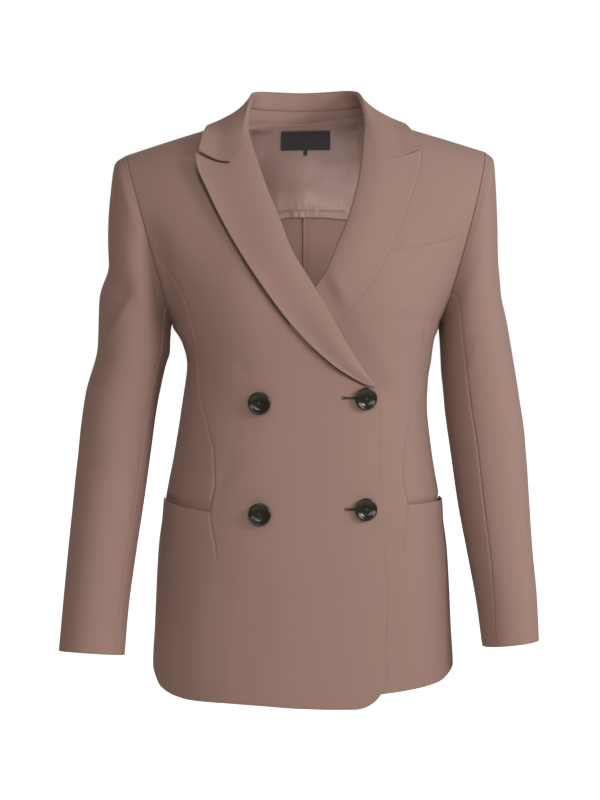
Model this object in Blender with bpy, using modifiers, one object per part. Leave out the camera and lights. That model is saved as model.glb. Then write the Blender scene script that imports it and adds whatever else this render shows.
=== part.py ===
"""Double breasted blazer with peak lapels, in its worn, hollow shape.

Metres, +Z up. The front faces -Y and the wearer's right is at -X. The origin is the middle of
the neck base, level with the inner ends of the shoulder seams.
Every cloth piece is a wall: a grid on its outer points, extruded to its inner points.
Pieces of one half are worked out on the wearer's left (+X) and mirrored for the right.
"""
import math

import bmesh
import bpy
import numpy as np

# ---------------------------------------------------------------- driving sizes
CLOTH = 0.0016          # wall of the outer cloth with its interlining
LINING = 0.0010         # wall of the back lining
GAP = 0.0005            # space between pieces at a seam
LAYER = 0.0019          # space between a lapel and what it lies on
SIDE_Y = 0.012          # the side seam lies this far behind the centre
UNDERARM = -0.235       # height of the lowest point of the armhole
FRONT_HEM = -0.668      # height of the lowest point of the front hem
BACK_HEM = -0.640       # height of the back hem
BREAK = -0.306          # height at which the lapel starts to turn over
HEM_CORNER = {"right": 0.036, "left": 0.012}  # radius of a front's lower corner
POCKET_MOUTH = -0.4405  # height of the hip pocket's mouth
POCKET_DEPTH = 0.026    # the side panel goes on this far inside the pocket
POCKET_GAPE = 0.0024    # the mouth stands off this far near the side seam
SEAM_TOP = -0.145       # the front panel seam meets the armhole at this level
NECK_HALF = 0.075       # half the distance between the inner ends of the shoulder seams
NAPE_LEVEL = 0.004      # level of the back neckline at the centre
SHOULDER_LEVEL = 0.025  # level of the shoulder seams' row at the centre
ARMHOLE_SQUARE = 2.1    # 2 is an ellipse, more is squarer
BUTTON_RADIUS = 0.0130
BUTTON_COLUMN = 0.0590  # distance of a button from the centre
BUTTON_SHIFT = 0.0020   # the buttons' centre line lies this far to the wearer's left
BUTTON_ROWS = (-0.3190, -0.4440)
BUTTON_TILT = 0.0025    # the column at the front edge hangs higher by twice this
SHOULDER_TILT = 0.013   # slope of the shoulders: the wearer's left one is higher
LAPEL_ROLL = 0.0032     # a lapel's roll beside its fold
LAPEL_STAND_OFF = {"right": 0.0034, "left": 0.0016}  # a lapel's edge stands off this far more
WELT = ((0.0930, -0.1520), (0.1672, -0.1360), (0.1676, -0.1130), (0.1022, -0.1285))
WELT_CLEAR = 0.0007     # space between the breast welt and the front
LINING_HEM = -0.112     # level of the half lining's lower edge
LINING_CLEAR = 0.0042   # space between the half lining and the back
LINING_FALL = 0.0022    # the lining's lower edge hangs this much further in
PATCH_CLEAR = 0.0006    # space between the label and the lining
ALLOWANCE_TOP = -0.115  # the seam allowances end below this level, behind the lining
BUTTON_CLEAR = 0.0003   # space between a button's neck and the front
COLLAR_SEAM = 0.16      # the stand's seam, as a share of the way from neck seam to outer edge
STAND_CLEAR = 0.0024    # half the space at the stand's seam, as a share of the same way
FOLD_RADIUS = 0.0042    # radius of the collar's fold at the middle of the back


class Table:
    """A short table with named columns, read between its rows on a smooth monotone curve."""

    def __init__(self, names, rows):
        self.names = names.split()
        self.rows = np.array(rows, dtype=float)

    def read(self, name, at):
        x = self.rows[:, 0]
        y = self.rows[:, self.names.index(name)]
        step = np.diff(x)
        rate = np.diff(y) / step
        slope = np.zeros(len(x))
        slope[0] = rate[0]
        slope[-1] = rate[-1]
        same = rate[:-1] * rate[1:] > 0
        mean = 2 * rate[:-1] * rate[1:] / np.where(same, rate[:-1] + rate[1:], 1)
        slope[1:-1] = np.where(same, mean, 0)
        at = np.asarray(at, dtype=float)
        i = np.clip(np.searchsorted(x, at) - 1, 0, len(x) - 2)
        t = np.clip((at - x[i]) / step[i], 0, 1)
        start = y[i] * (1 + 2 * t) * (1 - t) ** 2 + slope[i] * step[i] * t * (1 - t) ** 2
        end = y[i + 1] * t ** 2 * (3 - 2 * t) + slope[i + 1] * step[i] * t ** 2 * (t - 1)
        return start + end


# Rows of the front, from hem to shoulder seam. level is the height at the centre, depth is how
# far the centre lies in front of the origin, half the half width, square the squareness of the
# section, arm the place on the armhole (180 underarm, 0 shoulder tip), turn how far the row has
# turned at its outer end, and power how late the height changes along the row.
FRONT = Table("level depth half square arm turn power", (
    (-0.680, 0.1292, 0.1775, 2.45, 180, 90, 2.0),
    (-0.636, 0.1290, 0.1775, 2.45, 180, 90, 2.0),
    (-0.595, 0.1285, 0.1752, 2.45, 180, 90, 2.0),
    (-0.500, 0.1270, 0.1700, 2.45, 180, 90, 2.0),
    (-0.440, 0.1245, 0.1610, 2.50, 180, 90, 2.0),
    (-0.385, 0.1210, 0.1510, 2.55, 180, 90, 2.0),
    (-0.325, 0.1190, 0.1435, 2.60, 180, 90, 2.0),
    (-0.295, 0.1200, 0.1423, 2.60, 180, 90, 2.0),
    (-0.275, 0.1215, 0.1440, 2.55, 180, 90, 2.0),
    (-0.254, 0.1235, 0.1487, 2.50, 180, 90, 2.0),
    (-0.235, 0.1250, 0.1570, 2.40, 180, 90, 2.0),
    (-0.218, 0.1255, 0.1570, 2.35, 150, 80, 2.0),
    (-0.195, 0.1245, 0.1570, 2.30, 130, 70, 2.0),
    (-0.165, 0.1200, 0.1570, 2.25, 110, 62, 2.0),
    (-0.130, 0.1105, 0.1570, 2.20, 90, 55, 2.0),
    (-0.093, 0.0970, 0.1570, 2.15, 70, 50, 1.9),
    (-0.058, 0.0800, 0.1570, 2.10, 50, 45, 1.7),
    (-0.026, 0.0580, 0.1570, 2.05, 30, 40, 1.4),
    (-0.002, 0.0360, 0.1570, 2.00, 15, 35, 1.2),
    (0.025, -0.0060, 0.1570, 2.00, 0, 30, 1.03)))

# Rows of the back, with the same columns. depth is how far the centre lies behind the origin.
BACK = Table("level depth half square arm turn power", (
    (-0.680, 0.1120, 0.1775, 2.30, 180, 90, 2.0),
    (-0.636, 0.1120, 0.1775, 2.30, 180, 90, 2.0),
    (-0.595, 0.1115, 0.1752, 2.30, 180, 90, 2.0),
    (-0.500, 0.1060, 0.1700, 2.30, 180, 90, 2.0),
    (-0.440, 0.0950, 0.1610, 2.30, 180, 90, 2.0),
    (-0.385, 0.0820, 0.1510, 2.35, 180, 90, 2.0),
    (-0.325, 0.0740, 0.1435, 2.40, 180, 90, 2.0),
    (-0.295, 0.0748, 0.1423, 2.40, 180, 90, 2.0),
    (-0.275, 0.0768, 0.1440, 2.40, 180, 90, 2.0),
    (-0.254, 0.0810, 0.1487, 2.40, 180, 90, 2.0),
    (-0.235, 0.0860, 0.1570, 2.35, 180, 90, 2.0),
    (-0.218, 0.0900, 0.1570, 2.30, 150, 82, 2.0),
    (-0.195, 0.0940, 0.1570, 2.30, 130, 74, 2.0),
    (-0.165, 0.0975, 0.1570, 2.30, 110, 66, 2.0),
    (-0.130, 0.0985, 0.1570, 2.30, 90, 60, 2.0),
    (-0.093, 0.0955, 0.1570, 2.25, 70, 54, 2.0),
    (-0.058, 0.0890, 0.1570, 2.20, 50, 48, 1.9),
    (-0.028, 0.0780, 0.1570, 2.15, 32, 42, 1.7),
    (-0.006, 0.0660, 0.1570, 2.10, 20, 36, 1.4),
    (0.010, 0.0460, 0.1570, 2.05, 10, 32, 1.2),
    (0.025, 0.0060, 0.1570, 2.00, 0, 30, 1.03)))

# The body's sides hang a little out of true: how far both sides lie to the wearer's left.
SWAY = Table("level shift", (
    (-0.680, -0.0035), (-0.420, -0.0040), (-0.385, -0.0035), (-0.340, -0.0025), (-0.300, 0.0012),
    (-0.277, 0.0040), (-0.262, 0.0030), (-0.240, 0.0)))

# A front's edge below the break, by height: how far past the centre it lies.
EDGE = Table("height x", (
    (-0.680, 0.0855), (-0.624, 0.0860), (-0.578, 0.0866), (-0.498, 0.0832), (-0.440, 0.0792),
    (-0.306, 0.0774)))

# Height of the front hem, by distance from the centre on its own side.
HEM = Table("x right left", (
    (-0.0860, -0.6680, -0.6560),
    (-0.0300, -0.6672, -0.6552),
    (0.0150, -0.6655, -0.6540),
    (0.0600, -0.6625, -0.6528),
    (0.0800, -0.6617, -0.6520),
    (0.1000, -0.6612, -0.6506),
    (0.1130, -0.6613, -0.6494),
    (0.1360, -0.6615, -0.6474),
    (0.1545, -0.6594, -0.6452),
    (0.1700, -0.6534, -0.6382),
    (0.1775, -0.6400, -0.6340)))

# Where the lapel folds, by height: distance from the centre on its own side.
ROLL = Table("height right left", (
    (-0.306, -0.0750, -0.0750),
    (-0.285, -0.0611, -0.0590),
    (-0.249, -0.0372, -0.0330),
    (-0.207, -0.0133, -0.0060),
    (-0.172, 0.0082, 0.0175),
    (-0.151, 0.0205, 0.0265),
    (-0.114, 0.0345, 0.0425),
    (-0.072, 0.0505, 0.0550),
    (-0.045, 0.0590, 0.0605),
    (-0.013, 0.0680, 0.0650),
    (0.006, 0.0750, 0.0750)))

# The lapel's outer edge, by height, in the same way.
LAPEL_EDGE = Table("height right left", (
    (-0.3060, -0.0738, -0.0738),
    (-0.2980, -0.0571, -0.0550),
    (-0.2760, -0.0233, -0.0190),
    (-0.2310, 0.0227, 0.0280),
    (-0.1960, 0.0496, 0.0590),
    (-0.1630, 0.0714, 0.0810),
    (-0.1216, 0.0948, 0.1016),
    (-0.0840, 0.1143, 0.1165),
    (-0.0560, 0.1275, 0.1255),
    (-0.0400, 0.1296, 0.1275),
    (0.0000, 0.1310, 0.1290)))

# The lapel's upper edge across its width (0 at the fold, 1 at the peak): the gorge seam runs
# down to the notch and the peak's edge runs up again.
LAPEL_TOP = Table("across height", ((0.0, -0.0180), (0.42, -0.0465), (1.0, -0.0400)))
PEAK_DROP = {"right": -0.0016, "left": 0.0016}

# The front panel seam, by height: distance from the centre.
PANEL_SEAM = Table("height x", (
    (-0.680, 0.1040), (-0.503, 0.1060), (-0.441, 0.1120), (-0.411, 0.1075), (-0.380, 0.1085),
    (-0.350, 0.1152), (-0.300, 0.1270), (-0.254, 0.1303), (-0.214, 0.1380), (-0.190, 0.1484),
    (-0.165, 0.1637), (-0.145, 0.1850)))

# Rings of a sleeve from armhole to cuff, on the wearer's left. inner and outer are the ends of
# the ring's width in front view, mid_y and deep its middle and half depth, pitch how far the
# front of the ring is raised, and front_seam and back_seam where the seams run (0 outer side,
# 90 front, 180 inner side, 270 back).
RING_NAMES = "ring inner_x inner_z outer_x outer_z mid_y deep pitch front_seam back_seam"
SLEEVE = {
    "left": Table(RING_NAMES, (
        (0, 0.1570, -0.2350, 0.2105, -0.0360, 0.012, 0.0720, 0.00, 128, 235),
        (1, 0.1578, -0.2390, 0.2205, -0.0455, 0.012, 0.0735, 0.00, 126, 236),
        (2, 0.1584, -0.2430, 0.2232, -0.0760, 0.012, 0.0735, 0.00, 123, 238),
        (3, 0.1588, -0.2480, 0.2250, -0.1150, 0.011, 0.0725, 0.00, 120, 241),
        (4, 0.1592, -0.2550, 0.2262, -0.1600, 0.010, 0.0705, 0.00, 117, 244),
        (5, 0.1597, -0.2680, 0.2325, -0.2070, 0.008, 0.0680, 0.00, 114, 247),
        (6, 0.1603, -0.2900, 0.2412, -0.2600, 0.004, 0.0650, 0.01, 111, 250),
        (7, 0.1640, -0.3350, 0.2505, -0.3180, -0.001, 0.0610, 0.03, 110, 250),
        (8, 0.1705, -0.3880, 0.2578, -0.3770, -0.011, 0.0570, 0.06, 110, 250),
        (9, 0.1775, -0.4450, 0.2600, -0.4380, -0.025, 0.0530, 0.08, 111, 250),
        (10, 0.1872, -0.5030, 0.2622, -0.4970, -0.040, 0.0495, 0.09, 116, 250),
        (11, 0.1960, -0.5570, 0.2655, -0.5500, -0.055, 0.0465, 0.10, 124, 250),
        (12, 0.2015, -0.6060, 0.2664, -0.5990, -0.068, 0.0445, 0.10, 130, 250))),
    "right": Table(RING_NAMES, (
        (0, 0.1570, -0.2350, 0.2105, -0.0360, 0.012, 0.0720, 0.00, 140, 235),
        (1, 0.1578, -0.2390, 0.2230, -0.0455, 0.012, 0.0735, 0.00, 140, 236),
        (2, 0.1584, -0.2430, 0.2280, -0.0760, 0.012, 0.0735, 0.00, 140, 238),
        (3, 0.1588, -0.2480, 0.2312, -0.1150, 0.011, 0.0725, 0.00, 140, 241),
        (4, 0.1592, -0.2550, 0.2322, -0.1600, 0.010, 0.0705, 0.00, 140, 244),
        (5, 0.1597, -0.2680, 0.2420, -0.2070, 0.008, 0.0680, 0.00, 140, 247),
        (6, 0.1650, -0.2860, 0.2440, -0.2600, 0.004, 0.0650, 0.01, 140, 250),
        (7, 0.1752, -0.3350, 0.2585, -0.3180, -0.001, 0.0610, 0.03, 140, 250),
        (8, 0.1825, -0.3880, 0.2662, -0.3770, -0.013, 0.0570, 0.07, 140, 250),
        (9, 0.1905, -0.4450, 0.2716, -0.4380, -0.030, 0.0530, 0.11, 140, 250),
        (10, 0.1995, -0.5040, 0.2772, -0.4980, -0.048, 0.0500, 0.14, 140, 250),
        (11, 0.2070, -0.5600, 0.2820, -0.5540, -0.065, 0.0475, 0.15, 140, 250),
        (12, 0.2112, -0.6110, 0.2862, -0.6055, -0.080, 0.0455, 0.15, 140, 250))),
}

# Soft folds pressed into a sleeve: ring and angle of the middle, reach along the sleeve (in
# rings) and round it (in degrees), slant (degrees of turn for each ring) and depth.
FOLD_NAMES = "ring angle along around slant depth"
SLEEVE_FOLDS = {
    "left": Table(FOLD_NAMES, (
        (4.9, 20, 0.35, 55, 20, 0.0022),
        (6.6, 70, 0.30, 50, 25, 0.0020),
        (7.3, 95, 0.30, 45, -20, 0.0020),
        (8.1, 60, 0.30, 50, 20, 0.0015))),
    "right": Table(FOLD_NAMES, (
        (4.2, 20, 0.40, 60, 25, 0.0040),
        (6.3, 55, 0.28, 55, -40, 0.0045),
        (7.2, 95, 0.30, 50, -25, 0.0030),
        (8.2, 50, 0.35, 45, 20, 0.0018))),
}

# Sections of the collar from the middle of the back (0) to the gorge (1), on the wearer's left:
# the neck seam, the fold at the top, the middle of the fall and the fall's outer edge.
COLLAR = Table("along neck_x neck_y neck_z fold_x fold_y fold_z "
               "fall_x fall_y fall_z edge_x edge_y edge_z", (
    (0.00, 0.000, 0.0555, 0.0060, 0.0000, 0.0640, 0.0405, 0.0000, 0.0770, 0.0200,
     0.0000, 0.0800, -0.0060),
    (0.30, 0.043, 0.0470, 0.0070, 0.0420, 0.0540, 0.0405, 0.0530, 0.0670, 0.0210,
     0.0620, 0.0740, -0.0030),
    (0.52, 0.066, 0.0230, 0.0100, 0.0610, 0.0280, 0.0390, 0.0765, 0.0400, 0.0140,
     0.0970, 0.0510, -0.0030),
    (0.70, 0.0715, 0.0000, 0.0110, 0.0660, 0.0000, 0.0310, 0.0830, 0.0020, 0.0128,
     0.1115, 0.0060, -0.0022),
    (0.86, 0.0700, -0.0260, 0.0020, 0.0675, -0.0290, 0.0080, 0.0890, -0.0310, -0.0060,
     0.1180, -0.0220, -0.0100),
    (1.00, 0.0660, -0.0480, -0.0160, 0.0645, -0.0520, -0.0130, 0.0915, -0.0680, -0.0440,
     0.1250, -0.0490, -0.0330)))


def smooth_step(x):
    """0 below 0, 1 above 1 and a soft S between."""
    x = np.clip(x, 0, 1)
    return x * x * (3 - 2 * x)


def between(a, b, share):
    """The value that lies a share of the way from a to b."""
    return a + (b - a) * share


def signed_power(x, power):
    """A power that keeps the sign."""
    return np.sign(x) * np.abs(x) ** power


# ---------------------------------------------------------------- body and sleeve surfaces
def ring_points(side, ring, angle):
    """Points of a sleeve ring: a soft ellipse on the ring's width and depth, raised in front."""
    table = SLEEVE[side]
    radians = np.radians(angle)
    power = 2 / ARMHOLE_SQUARE
    across = signed_power(np.cos(radians), power)
    forward = signed_power(np.sin(radians), power)
    inner_x = table.read("inner_x", ring)
    inner_z = table.read("inner_z", ring)
    outer_x = table.read("outer_x", ring)
    outer_z = table.read("outer_z", ring)
    deep = table.read("deep", ring) * forward
    x = (inner_x + outer_x) / 2 + (outer_x - inner_x) / 2 * across
    z = (inner_z + outer_z) / 2 + (outer_z - inner_z) / 2 * across
    z = z + table.read("pitch", ring) * deep
    y = table.read("mid_y", ring) - deep
    return np.stack(np.broadcast_arrays(x, y, z), axis=-1)


def armhole_out():
    """Unit direction that leads out of the armhole, square to its plane."""
    way = ring_points("left", 0.0, 0.0) - ring_points("left", 0.0, 180.0)
    return np.array((way[2], 0, -way[0])) / math.hypot(way[0], way[2])


def row_end(table, level, facing):
    """Outer end of a body row: the side seam below the underarm, the armhole above it."""
    side = np.stack(np.broadcast_arrays(table.read("half", level), SIDE_Y, level), axis=-1)
    arm = table.read("arm", level)
    hole = ring_points("left", 0.0 * level, np.where(facing < 0, arm, -arm))
    return np.where((level > UNDERARM)[..., None], hole, side)


def body(table, facing, u, level):
    """Outer face of the body. u runs from 0 at the centre to 1 at the side or armhole; a row is
    part of a soft ellipse that has turned by the table's turn at its outer end."""
    u, level = np.broadcast_arrays(np.asarray(u, dtype=float), np.asarray(level, dtype=float))
    end = row_end(table, level, facing)
    turn = np.radians(table.read("turn", level))
    power = 2 / table.read("square", level)
    angle = np.abs(u) * turn
    across = np.sign(u) * np.sin(angle) ** power / np.sin(turn) ** power
    bend = (1 - np.abs(np.cos(angle)) ** power) / (1 - np.abs(np.cos(turn)) ** power)
    start_y = facing * table.read("depth", level)
    x = end[..., 0] * across
    y = between(start_y, end[..., 1], bend)
    z = between(level, end[..., 2], np.abs(u) ** table.read("power", level))
    if facing < 0:
        y = y - bust(x, z)
    return np.stack((x, y, z), axis=-1)


def bust(x, z):
    """How far the bust shaping lifts the front: a low round hill on each side."""
    hill = np.exp(-((np.abs(x) - 0.085) / 0.050) ** 2 - ((z + 0.205) / 0.060) ** 2)
    return 0.0085 * hill


def u_at(table, facing, x, level):
    """The u at which a row reaches a distance x from the centre."""
    level = np.asarray(level, dtype=float)
    end_x = row_end(table, level, facing)[..., 0]
    turn = np.radians(table.read("turn", level))
    power = 2 / table.read("square", level)
    share = np.clip(np.abs(x) / end_x * np.sin(turn) ** power, 0, 1)
    angle = np.arcsin(np.minimum(share ** (1 / power), np.sin(turn)))
    return np.sign(x) * angle / turn


def u_on_line(table, facing, line, column, level):
    """The u at which a row crosses a line given as distance from the centre by height."""
    height = np.array(level, dtype=float)
    for _ in range(8):
        u = u_at(table, facing, line.read(column, height), level)
        height = body(table, facing, u, level)[..., 2]
    return u


def place_on_front(x, z):
    """The u and level of the front's point with the given x and z."""
    x, z = np.broadcast_arrays(np.asarray(x, dtype=float), np.asarray(z, dtype=float))
    low = np.full(x.shape, FRONT.rows[0, 0])
    high = np.full(x.shape, SHOULDER_LEVEL)
    for _ in range(40):
        level = (low + high) / 2
        height = body(FRONT, -1, u_at(FRONT, -1, x, level), level)[..., 2]
        low = np.where(height < z, level, low)
        high = np.where(height < z, high, level)
    return u_at(FRONT, -1, x, level), level


def unit(vectors):
    """Vectors at length one."""
    return vectors / np.linalg.norm(vectors, axis=-1, keepdims=True)


def body_normals(table, facing, u, level):
    """Unit normals of the body, outwards, from small steps along its rows and up its columns."""
    far = np.minimum(u + 0.002, 1.0)
    high = np.minimum(level + 0.001, SHOULDER_LEVEL)
    along = body(table, facing, far, level) - body(table, facing, far - 0.004, level)
    up = body(table, facing, u, high) - body(table, facing, u, high - 0.002)
    return unit(np.cross(along, up)) * -facing


def sway(points, u, level, side):
    """Points with the body's sides moved a little to the wearer's left."""
    shift = SWAY.read("shift", level) * np.abs(u) ** 2
    moved = points.copy()
    moved[..., 0] += shift if side == "left" else -shift
    return moved


def mirrored(points, side):
    """Points worked out on the wearer's left, put on the given side."""
    return points * np.array((1 if side == "left" else -1, 1, 1))


def tilted(points):
    """Points with the upper part of the garment sloping up to the wearer's left."""
    moved = points.copy()
    moved[..., 2] += SHOULDER_TILT * points[..., 0] * smooth_step((points[..., 2] + 0.25) / 0.2)
    return moved


# ---------------------------------------------------------------- mesh and materials
def make_material(name, colour, roughness, metallic=0.0):
    """A Principled material with the piece's colour."""
    material = bpy.data.materials.new(name)
    material.use_nodes = True
    shader = material.node_tree.nodes["Principled BSDF"]
    shader.inputs["Base Color"].default_value = (*colour, 1)
    shader.inputs["Roughness"].default_value = roughness
    shader.inputs["Metallic"].default_value = metallic
    material.diffuse_color = (*colour, 1)
    return material


def add_object(name, mesh, material, collection):
    """A named object with its mesh and material in the garment's collection."""
    thing = bpy.data.objects.new(name, mesh)
    mesh.materials.append(material)
    collection.objects.link(thing)
    return thing


def cloth_wall(name, outer, inner, material, collection, keep=None):
    """A closed cloth wall: a grid on the outer points, extruded to the inner points. keep is a
    grid of yes or no for each face; faces that are not kept are cut away first."""
    rows, columns = outer.shape[:2]
    outer, inner = tilted(outer), tilted(inner)
    mesh_grid = bmesh.new()
    row_tag = mesh_grid.verts.layers.int.new("row")
    column_tag = mesh_grid.verts.layers.int.new("column")
    bmesh.ops.create_grid(mesh_grid, x_segments=columns - 1, y_segments=rows - 1, size=1)
    for vert in mesh_grid.verts:
        vert[row_tag] = round((vert.co.y + 1) / 2 * (rows - 1))
        vert[column_tag] = round((vert.co.x + 1) / 2 * (columns - 1))
    if keep is not None:
        cut = [face for face in mesh_grid.faces
               if not keep[min(vert[row_tag] for vert in face.verts),
                           min(vert[column_tag] for vert in face.verts)]]
        bmesh.ops.delete(mesh_grid, geom=cut, context="FACES")
    grown = bmesh.ops.extrude_face_region(mesh_grid, geom=mesh_grid.faces[:],
                                          use_keep_orig=True)["geom"]
    inside = {vert for vert in grown if isinstance(vert, bmesh.types.BMVert)}
    for vert in mesh_grid.verts:
        points = inner if vert in inside else outer
        vert.co = points[vert[row_tag], vert[column_tag]]
    bmesh.ops.recalc_face_normals(mesh_grid, faces=mesh_grid.faces)
    if mesh_grid.calc_volume(signed=True) < 0:
        bmesh.ops.reverse_faces(mesh_grid, faces=mesh_grid.faces)
    mesh = bpy.data.meshes.new(name)
    mesh_grid.to_mesh(mesh)
    mesh_grid.free()
    mesh.shade_smooth()
    mesh.set_sharp_from_angle(angle=math.radians(50))
    return add_object(name, mesh, material, collection)


# ---------------------------------------------------------------- body panels
def armhole_inward(points):
    """Unit directions from armhole points to the middle of the armhole, in its plane."""
    middle = between(ring_points("left", 0.0, 0.0), ring_points("left", 0.0, 180.0), 0.5)
    return unit(middle - points)


def panel_walls(table, facing, u, level, lift, thickness):
    """Outer and inner points of a body panel. lift moves its outer face out from the body. At
    the armhole the wall's edge lies in the armhole's plane, at the shoulder it stands upright,
    so that the pieces that meet there stay clear of each other."""
    base = body(table, facing, u, level)
    normal = body_normals(table, facing, u, level)
    hole = ((u > 0.9999) & (level > UNDERARM + 0.0001))[..., None]
    outer = base + normal * lift[..., None] - armhole_out() * GAP / 2 * hole
    inward = np.where(hole, armhole_inward(base), -normal)
    top = (level > SHOULDER_LEVEL - 0.0001)[..., None]
    upright = unit(np.stack((-normal[..., 0], 0 * u, -np.abs(normal[..., 2])), axis=-1))
    return outer, outer + np.where(top, upright, inward) * thickness


def half_seam(level):
    """Half the gap at a seam, as a share of a row."""
    return GAP / 2 / row_end(FRONT, level, -1)[..., 0]


def front_levels():
    """Levels of the front panel's rows: below the pocket's mouth, beside the side front and
    above it. The side front has the same levels at the seam."""
    low = np.linspace(FRONT_HEM, POCKET_MOUTH, 7)
    middle = np.linspace(POCKET_MOUTH, SEAM_TOP, 13)
    high = np.array((-0.118, -0.093, -0.070, -0.048, -0.026, -0.008, 0.008, SHOULDER_LEVEL))
    return low, middle, high


def panel_seam_u(level):
    """The u of the front panel seam, which ends on the armhole."""
    seam = u_on_line(FRONT, -1, PANEL_SEAM, "x", np.minimum(level, SEAM_TOP))
    return np.where(level < SEAM_TOP - 0.0001, np.minimum(seam, 1), 1)


def overlap_sink(x, z):
    """How far the left front lies under the right one, x to the wearer's left. Above the break
    the left lapel lies between the two fronts, so the left front is sunk deeper there."""
    edge = np.where(z > BREAK, -ROLL.read("right", z), EDGE.read("x", z))
    ease = 0.030
    full = between(CLOTH + 3 * GAP, 2 * (CLOTH + LAYER), smooth_step((z + 0.345) / 0.035))
    return full * smooth_step((edge + 0.004 + ease - x) / ease)


def front_panel(side, material, collection):
    """A front: from its edge and fold to the panel seam, and below the pocket's mouth on to the
    side seam. The right front laps over and has a rounded lower corner."""
    low, middle, high = front_levels()
    level = np.concatenate((low, middle[1:], high))
    fold_u = u_on_line(FRONT, -1, ROLL, side, np.maximum(level, BREAK))
    edge_u = u_at(FRONT, -1, -EDGE.read("x", level), level)
    start_u = np.where(level < BREAK, edge_u, fold_u)
    seam_u = panel_seam_u(level) - half_seam(level) * (level < SEAM_TOP - 0.0001)
    shares = np.array((0, 0.02, 0.05, 0.09, 0.15, 0.24, 0.36, 0.48, 0.60, 0.72, 0.84, 1.0))
    side_shares = np.linspace(0, 1, 6)[1:]
    main = between(start_u[:, None], seam_u[:, None], shares)
    outward = between(seam_u[:, None], 1 - half_seam(level)[:, None], side_shares)
    u = np.concatenate((main, outward), axis=1)
    x_hem = body(FRONT, -1, u[0], level[0])[..., 0]
    radius = HEM_CORNER[side]
    inset = np.clip(radius - (x_hem - x_hem[0]), 0, radius)
    hem = HEM.read(side, x_hem) + radius - np.sqrt(radius ** 2 - inset ** 2)
    share_up = np.clip((level - FRONT_HEM) / (POCKET_MOUTH - FRONT_HEM), 0, 1)[:, None]
    levels = level[:, None] + (hem - FRONT_HEM) * (1 - share_up)
    mouth_share = np.clip(1 - (POCKET_MOUTH - levels) / 0.035, 0, 1)
    side_way = np.clip((u - seam_u[:, None]) / (1.0001 - seam_u[:, None]), 0, 1)
    lift = POCKET_GAPE * smooth_step(mouth_share) * np.sin(np.pi * 0.75 * side_way)
    lift = lift * (levels < POCKET_MOUTH + 0.0001)
    if side == "left":
        place = body(FRONT, -1, u, levels)
        lift = lift - overlap_sink(place[..., 0], place[..., 2])
    outer, inner = panel_walls(FRONT, -1, u, levels, lift, CLOTH)
    keep = np.ones((len(level) - 1, u.shape[1] - 1), dtype=bool)
    keep[len(low) - 1:, len(shares) - 1:] = False
    outer = mirrored(sway(outer, u, levels, side), side)
    inner = mirrored(sway(inner, u, levels, side), side)
    return cloth_wall("front_" + side, outer, inner, material, collection, keep)


def side_front_panel(side, material, collection):
    """The side front: from the panel seam to the side seam, with its lower end inside the
    pocket and its top on the armhole."""
    seam_level = front_levels()[1]
    start = POCKET_MOUTH - POCKET_DEPTH
    seam_level = np.concatenate(((start, POCKET_MOUTH - POCKET_DEPTH / 2), seam_level))
    share = (seam_level - start) / (SEAM_TOP - start)
    side_level = between(start, UNDERARM, share)
    half_gap = half_seam(seam_level)
    u = between(panel_seam_u(seam_level) + half_gap, 1 - half_gap,
                np.linspace(0, 1, 6)[:, None]).T
    level = between(seam_level, side_level, np.linspace(0, 1, 6)[:, None]).T
    u[-1] = 1
    level[-1, 0] -= 3 * GAP
    tuck = smooth_step((POCKET_MOUTH + 0.014 - level) / 0.012)
    lift = -(CLOTH + 2.5 * GAP) * tuck
    outer, inner = panel_walls(FRONT, -1, u, level, lift, CLOTH)
    outer = mirrored(sway(outer, u, level, side), side)
    inner = mirrored(sway(inner, u, level, side), side)
    return cloth_wall("side_front_" + side, outer, inner, material, collection)


def back_top_level(u):
    """Level of the back's upper edge: the neckline, then the shoulder seam."""
    neck_u = u_at(BACK, 1, NECK_HALF, np.array(SHOULDER_LEVEL))
    share = np.clip(u / neck_u, 0, 1)
    return between(NAPE_LEVEL, SHOULDER_LEVEL, 1 - np.sqrt(1 - share ** 2 + 1e-12))


def back_levels(u):
    """Levels of the back's rows at each u: even up to the underarm, even again above it."""
    low = between(BACK_HEM, UNDERARM, np.linspace(0, 1, 11)[:-1])
    high = between(UNDERARM, back_top_level(u), np.linspace(0, 1, 12)[:, None])
    return np.concatenate((np.repeat(low[:, None], len(u), axis=1), high))


def back_panel(side, material, collection):
    """A back: from the centre back seam to the side seam and armhole, up to neck and shoulder."""
    across = np.array((0, 0.12, 0.25, 0.36, 0.46, 0.57, 0.68, 0.79, 0.90, 1.0))
    level = back_levels(across)
    half_gap = half_seam(level)
    u = between(half_gap, np.where(level > UNDERARM + 0.0001, 1, 1 - half_gap), across)
    outer, inner = panel_walls(BACK, 1, u, level, 0 * u, CLOTH)
    for points in (outer, inner):
        points[..., 1] += GAP * (level > SHOULDER_LEVEL - 0.0001)
    outer = mirrored(sway(outer, u, level, side), side)
    inner = mirrored(sway(inner, u, level, side), side)
    return cloth_wall("back_" + side, outer, inner, material, collection)


# ---------------------------------------------------------------- sleeves
def sleeve_points(side, ring, angle):
    """Outer face of a sleeve: its rings, with the soft folds pressed in towards its middle."""
    base = ring_points(side, ring, angle)
    middle = between(ring_points(side, ring, 0 * angle), ring_points(side, ring, 0 * angle + 180), 0.5)
    press = np.zeros(base.shape[:-1])
    for at, turn, along, around, slant, depth in SLEEVE_FOLDS[side].rows:
        away = (ring - at) / along
        off = (np.mod(angle + 180, 360) - 180 - turn - slant * (ring - at)) / around
        press += depth * np.exp(-away ** 2 - off ** 2)
    return base + unit(middle - base) * press[..., None]


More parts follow.
